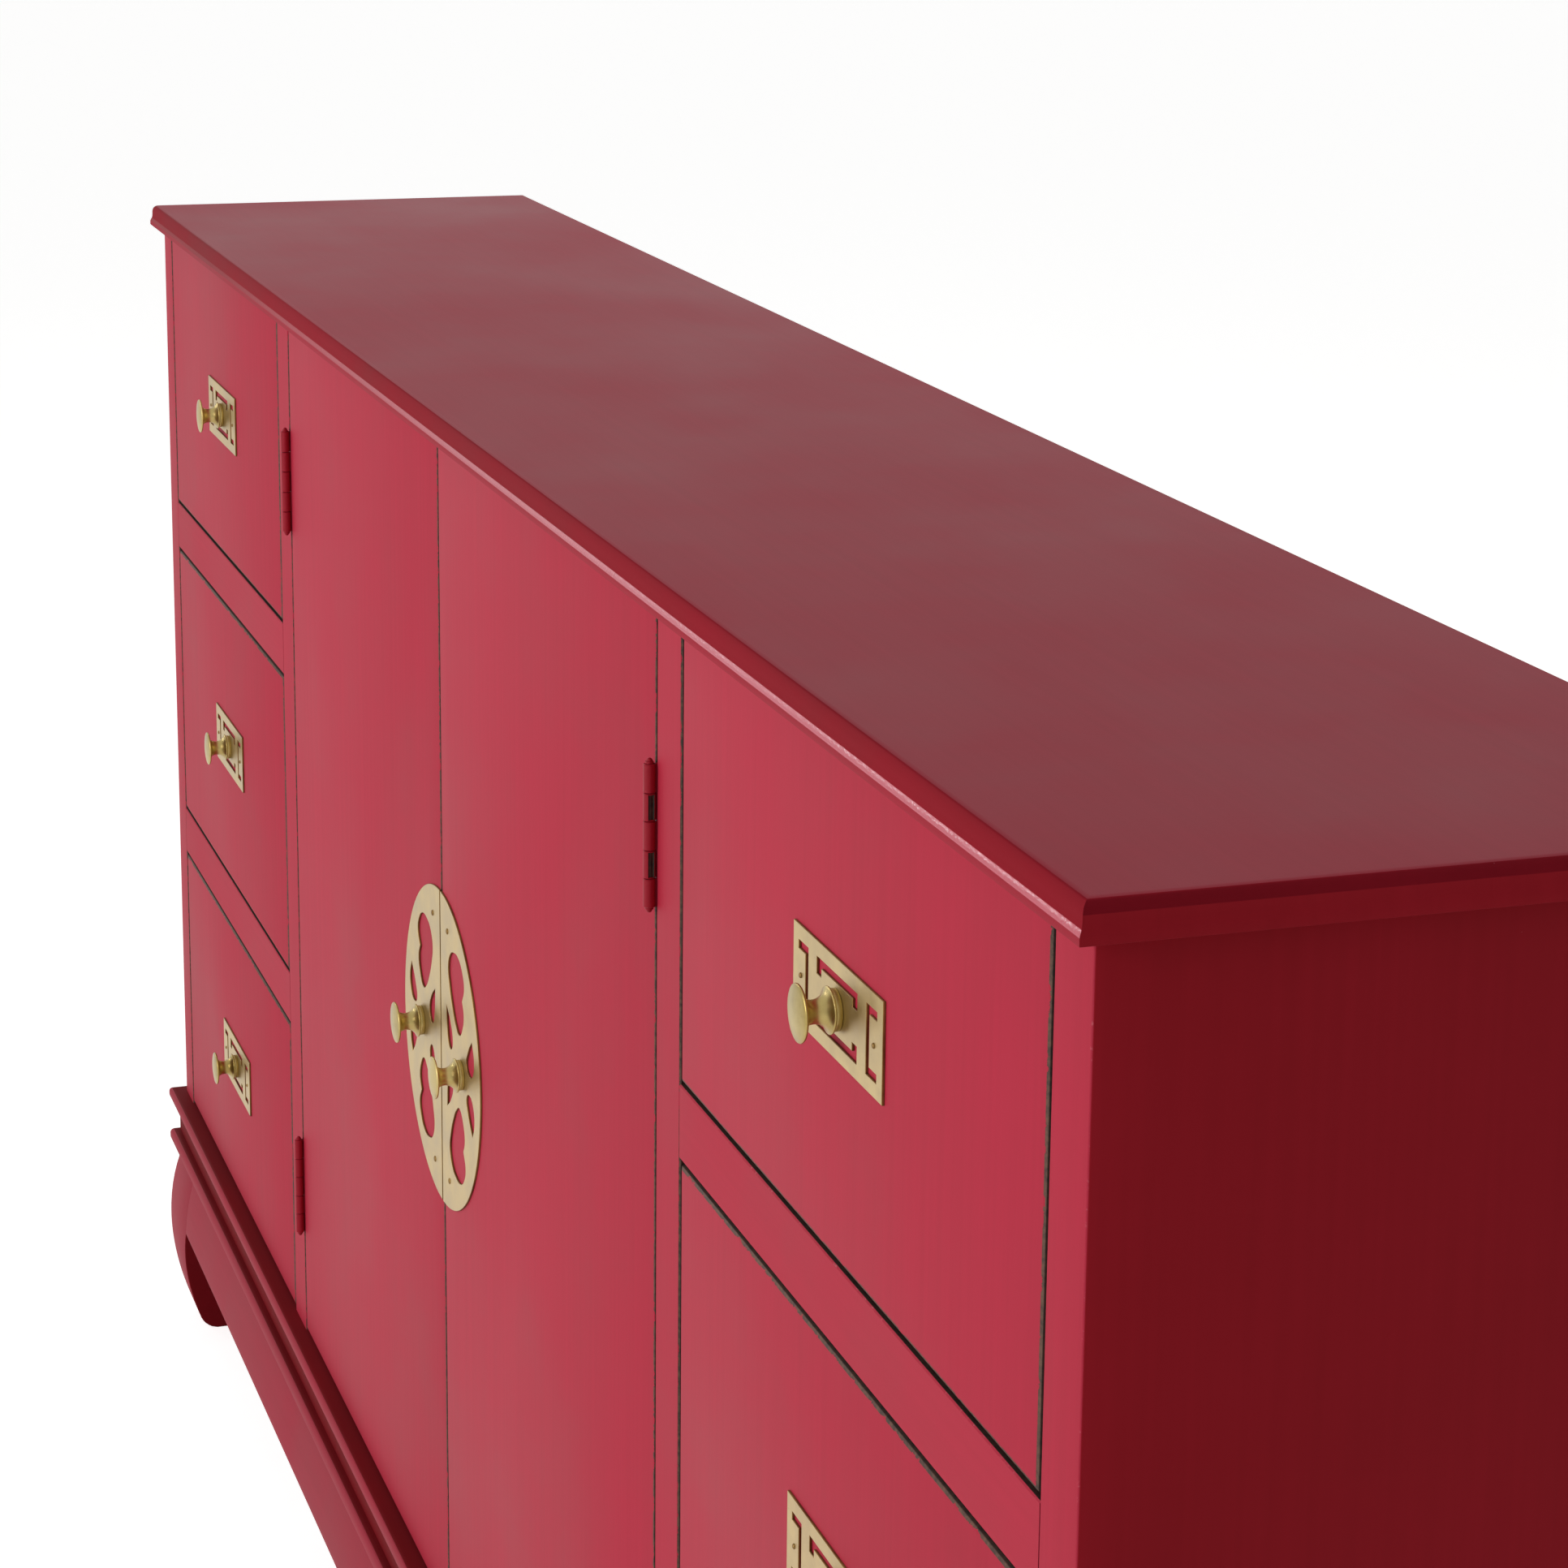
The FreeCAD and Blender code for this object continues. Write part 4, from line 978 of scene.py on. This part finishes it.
def knuckle(name, low, high):
    """A length of barrel with softened ends, about the upright axis at the origin."""
    end_radius = BARREL_RADIUS - KNUCKLE_SOFT
    rings = [(end_radius, low), (BARREL_RADIUS, low + KNUCKLE_SOFT),
             (BARREL_RADIUS, high - KNUCKLE_SOFT), (end_radius, high)]
    return turned(name, rings, "upwards", sides=28)


def knuckle_spans(numbers, slack):
    """Heights of some of a barrel's five knuckles, counted from below, with some slack at both ends."""
    return [(KNUCKLE * number - BARREL_HALF - slack, KNUCKLE * (number + 1) - BARREL_HALF + slack)
            for number in numbers]


def hinge_leaf(name, x, own, others):
    """The thin plate of a leaf in the gap with its knuckles, cut away behind the other leaf's knuckles."""
    pieces = [knuckle(f"{name}_barrel_{index}", *barrel) for index, barrel in enumerate(own)]
    for start, spans in ((0, own), (BARREL_RADIUS + KNUCKLE_GAP, others)):
        for index, (low, high) in enumerate(spans):
            low, high = max(low, -BARREL_HALF), min(high, BARREL_HALF)
            near, far = (x[0], start, low), (x[1], LEAF_END, high)
            pieces.append(cut_board(f"{name}_plate_{start}_{index}", near, far))
    return joined(pieces, name)


# Seams of the rolled knuckles: angles round the barrel, depth, rim, and radii that tell skin from seam
SEAM_LOW, SEAM_HIGH, SEAM_DEPTH, SEAM_RIM = math.radians(-24), math.radians(34), 0.7 * MM, 0.3 * MM
SEAM_FLOOR, SKIN_LOW, SKIN_HIGH = 0.9 * BARREL_RADIUS, 0.95 * BARREL_RADIUS, 1.05 * BARREL_RADIUS
ROUND_SIDE = 0.1


def faces_frame(face):
    """Whether a face is the part of a barrel's round side that looks at the frame."""
    spot = face.calc_center_median()
    around = math.atan2(spot.y, -spot.x)
    on_barrel = SKIN_LOW < math.hypot(spot.x, spot.y) < SKIN_HIGH and abs(face.normal.z) < ROUND_SIDE
    return on_barrel and SEAM_LOW < around < SEAM_HIGH


def open_seams(leaf):
    """Sinks the seam where each rolled knuckle of a leaf ends."""
    open_piece(leaf)
    pick(leaf, "FACE", faces_frame)
    bpy.ops.mesh.inset(thickness=SEAM_RIM, depth=-SEAM_DEPTH)
    close_piece()


def in_seam(face):
    """Whether a face lies sunk in a barrel."""
    return math.hypot(face.center.x, face.center.y) < SEAM_FLOOR and face.normal.x < -SIDEWAYS


def hinges():
    """Butt hinges painted with the doors: barrels in front of the gap, leaves inside it."""
    gap = FRONT_GAP / 2
    frame_knuckles, door_knuckles = (0, 2, 4), (1, 3)
    fixed = hinge_leaf("fixed_leaf", (-gap, LEAF_THICK - gap),
                       knuckle_spans(frame_knuckles, 0), knuckle_spans(door_knuckles, 0))
    moving = hinge_leaf("moving_leaf", (gap - LEAF_THICK, gap),
                        knuckle_spans(door_knuckles, -KNUCKLE_GAP),
                        knuckle_spans(frame_knuckles, KNUCKLE_GAP))
    open_seams(moving)
    cap = turned("pin_cap", [(radius * MM, height * MM) for radius, height in PIN_CAP], "upwards", sides=24)
    low_cap = copied(cap, "pin_cap_low", Vector())
    low_cap.data.transform(Matrix.Diagonal((1, 1, -1, 1)))
    pin = joined([cap, mended(low_cap)], "hinge_pin")
    for pattern in (fixed, moving, pin):
        paint(pattern, hinge_paint, seam_shade)
    # Sunk seams of the knuckles take the brown-black as painted shade
    stain_faces(moving, 1, in_seam)
    frame_leaves, pins = [], []
    for side, sign in SIDES.items():
        low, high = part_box(f"{side}_hinge_door_leaves")
        axis_x = sign * (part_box("right_door_panel")[1].x + gap)
        axis_y = low.y + BARREL_RADIUS
        turn = Matrix.Rotation(0 if sign < 0 else math.pi, 4, "Y")
        door_leaves = []
        for z in (low.z + BARREL_HALF, high.z - BARREL_HALF):
            place = Matrix.Translation((axis_x, axis_y, z)) @ turn
            for pattern, store in ((fixed, frame_leaves), (moving, door_leaves), (pin, pins)):
                part = copied(pattern, f"{pattern.name}_{side}_{len(store)}", Vector())
                part.data.transform(place)
                store.append(part)
        leaves = smooth(joined(door_leaves, f"{side}_door_hinge_leaves"))
        fit(leaves, f"{side}_door", "red_metal", f"{side}_hinge_door_leaves")
    leaves = smooth(joined(frame_leaves, "frame_hinge_leaves"))
    fit(leaves, "carcass", "red_metal", "hinge_frame_leaves")
    caps = smooth(joined(pins, "hinge_pin_finials"))
    fit(caps, "carcass", "red_metal", "hinge_pins")
    for pattern in (fixed, moving, pin):
        bpy.data.objects.remove(pattern)


# Inside: solids whose shape is right keep it and get their wood


def inside_wood():
    """Wood of the boards behind the fronts; the waist strips take the darker recess red as painted shade."""
    woods = {"bottom_panel": wood_along_x, "back_panel": wood_along_x, "shelf": wood_along_x,
             "shelf_cleats": wood_along_y, "drawer_runners": wood_along_y,
             "left_divider": wood_along_z, "right_divider": wood_along_z, "waist_strips": recess_shade_lacquer}
    for node, wood in woods.items():
        paint(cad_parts[node], wood)
    for drawer in DRAWERS:
        paint(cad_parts[f"{drawer}_box"], box_wood)


# Floor, light and camera

FLOOR_SIZE, FLOOR_GRAIN, FLOOR_GLOW = 60, 40, 0.74
SKY = 0.27
CAMERA_PLACE = Vector((1.94037, front - 0.44817, 1.23453))
CAMERA_TURN, CAMERA_PITCH, CAMERA_ROLL = math.radians(71.6562), math.radians(12.8026), math.radians(0.6)
CAMERA_LENS, CAMERA_SENSOR, CAMERA_SHIFT = 87.017, 36, -0.12


def seen_share(tree):
    """One for the rays that show the background: straight to the camera, in a reflection or through glass."""
    ray = tree.nodes.new("ShaderNodeLightPath")
    seen = ray.outputs["Is Camera Ray"]
    for kind in ("Is Glossy Ray", "Is Transmission Ray"):
        either = tree.nodes.new("ShaderNodeMath")
        either.operation = "MAXIMUM"
        tree.links.new(seen, either.inputs[0])
        tree.links.new(ray.outputs[kind], either.inputs[1])
        seen = either.outputs[0]
    return seen


def pale_floor():
    """A wide pale floor that keeps the shadow and runs out to white for the camera."""
    bpy.ops.object.select_all(action="DESELECT")
    bpy.ops.mesh.primitive_plane_add(size=FLOOR_SIZE, location=(0, 0, 0))
    floor = named("floor")
    material, tree, shader = surface("pale_floor")
    grain = spots(tree, EVEN, FLOOR_GRAIN, detail=3.0)
    tint = shades(tree, grain, [(0.3, tone(226, 225, 223)), (0.7, tone(233, 232, 230))])
    tree.links.new(tint, shader.inputs["Base Color"])
    shader.inputs["Roughness"].default_value = 0.9
    shader.inputs["Specular IOR Level"].default_value = 0.1
    tree.links.new(seen_share(tree), shader.inputs["Emission Strength"])
    shader.inputs["Emission Color"].default_value = (FLOOR_GLOW, FLOOR_GLOW, FLOOR_GLOW, 1)
    paint(floor, material)


def sky():
    """Even soft light all round; the camera sees it white."""
    world = bpy.data.worlds.new("soft_room")
    world.use_nodes = True
    bpy.context.scene.world = world
    tree = world.node_tree
    backdrop = tree.nodes["Background"]
    backdrop.inputs["Color"].default_value = (1, 1, 1, 1)
    strength = tree.nodes.new("ShaderNodeMath")
    strength.operation = "MULTIPLY_ADD"
    strength.inputs[1].default_value = 1 - SKY
    strength.inputs[2].default_value = SKY
    tree.links.new(seen_share(tree), strength.inputs[0])
    tree.links.new(strength.outputs[0], backdrop.inputs["Strength"])


def softbox(name, place, aim, size, power):
    """A large soft lamp turned to a point."""
    lamp = bpy.data.lights.new(name, "AREA")
    lamp.shape = "RECTANGLE"
    lamp.size, lamp.size_y = size
    lamp.energy = power
    holder = bpy.data.objects.new(name, lamp)
    holder.location = place
    holder.rotation_euler = (Vector(aim) - Vector(place)).to_track_quat("-Z", "Y").to_euler()
    bpy.context.scene.collection.objects.link(holder)


def studio_light():
    """A broad lamp in front, one behind, and a small far one at the left that draws the bead's highlight."""
    softbox("front_softbox", place=(0.7, -3.6, 1.7), aim=(0.1, 0, 0.45), size=(2.6, 1.6), power=72)
    softbox("back_softbox", place=(0, 4.2, 1.4), aim=(0, 0, 0.45), size=(3.0, 1.6), power=48)
    softbox("window_softbox", place=(-4.5, -2.9, 2.2), aim=(0.6, 0, 0.85), size=(0.7, 0.6), power=17)


def photo_camera():
    """The photograph's view: from above the right front corner, along the front."""
    lens = bpy.data.cameras.new("photo_camera")
    lens.lens = CAMERA_LENS
    lens.sensor_width = CAMERA_SENSOR
    lens.shift_y = CAMERA_SHIFT
    camera = bpy.data.objects.new("photo_camera", lens)
    bpy.context.scene.collection.objects.link(camera)
    ahead = Vector((-math.sin(CAMERA_TURN) * math.cos(CAMERA_PITCH),
                    math.cos(CAMERA_TURN) * math.cos(CAMERA_PITCH), -math.sin(CAMERA_PITCH)))
    level = Vector((math.cos(CAMERA_TURN), math.sin(CAMERA_TURN), 0))
    above = level.cross(ahead)
    right = level * math.cos(CAMERA_ROLL) + above * math.sin(CAMERA_ROLL)
    up = above * math.cos(CAMERA_ROLL) - level * math.sin(CAMERA_ROLL)
    camera.matrix_world = Matrix.Translation(CAMERA_PLACE) @ Matrix((right, up, -ahead)).transposed().to_4x4()
    bpy.context.scene.camera = camera


bpy.context.scene.view_settings.view_transform = "Standard"
photo_camera()
sky()
studio_light()
pale_floor()
top_slab()
front_frame()
base_ledges()
aprons()
feet()
fronts()
brass_work()
hinges()
inside_wood()
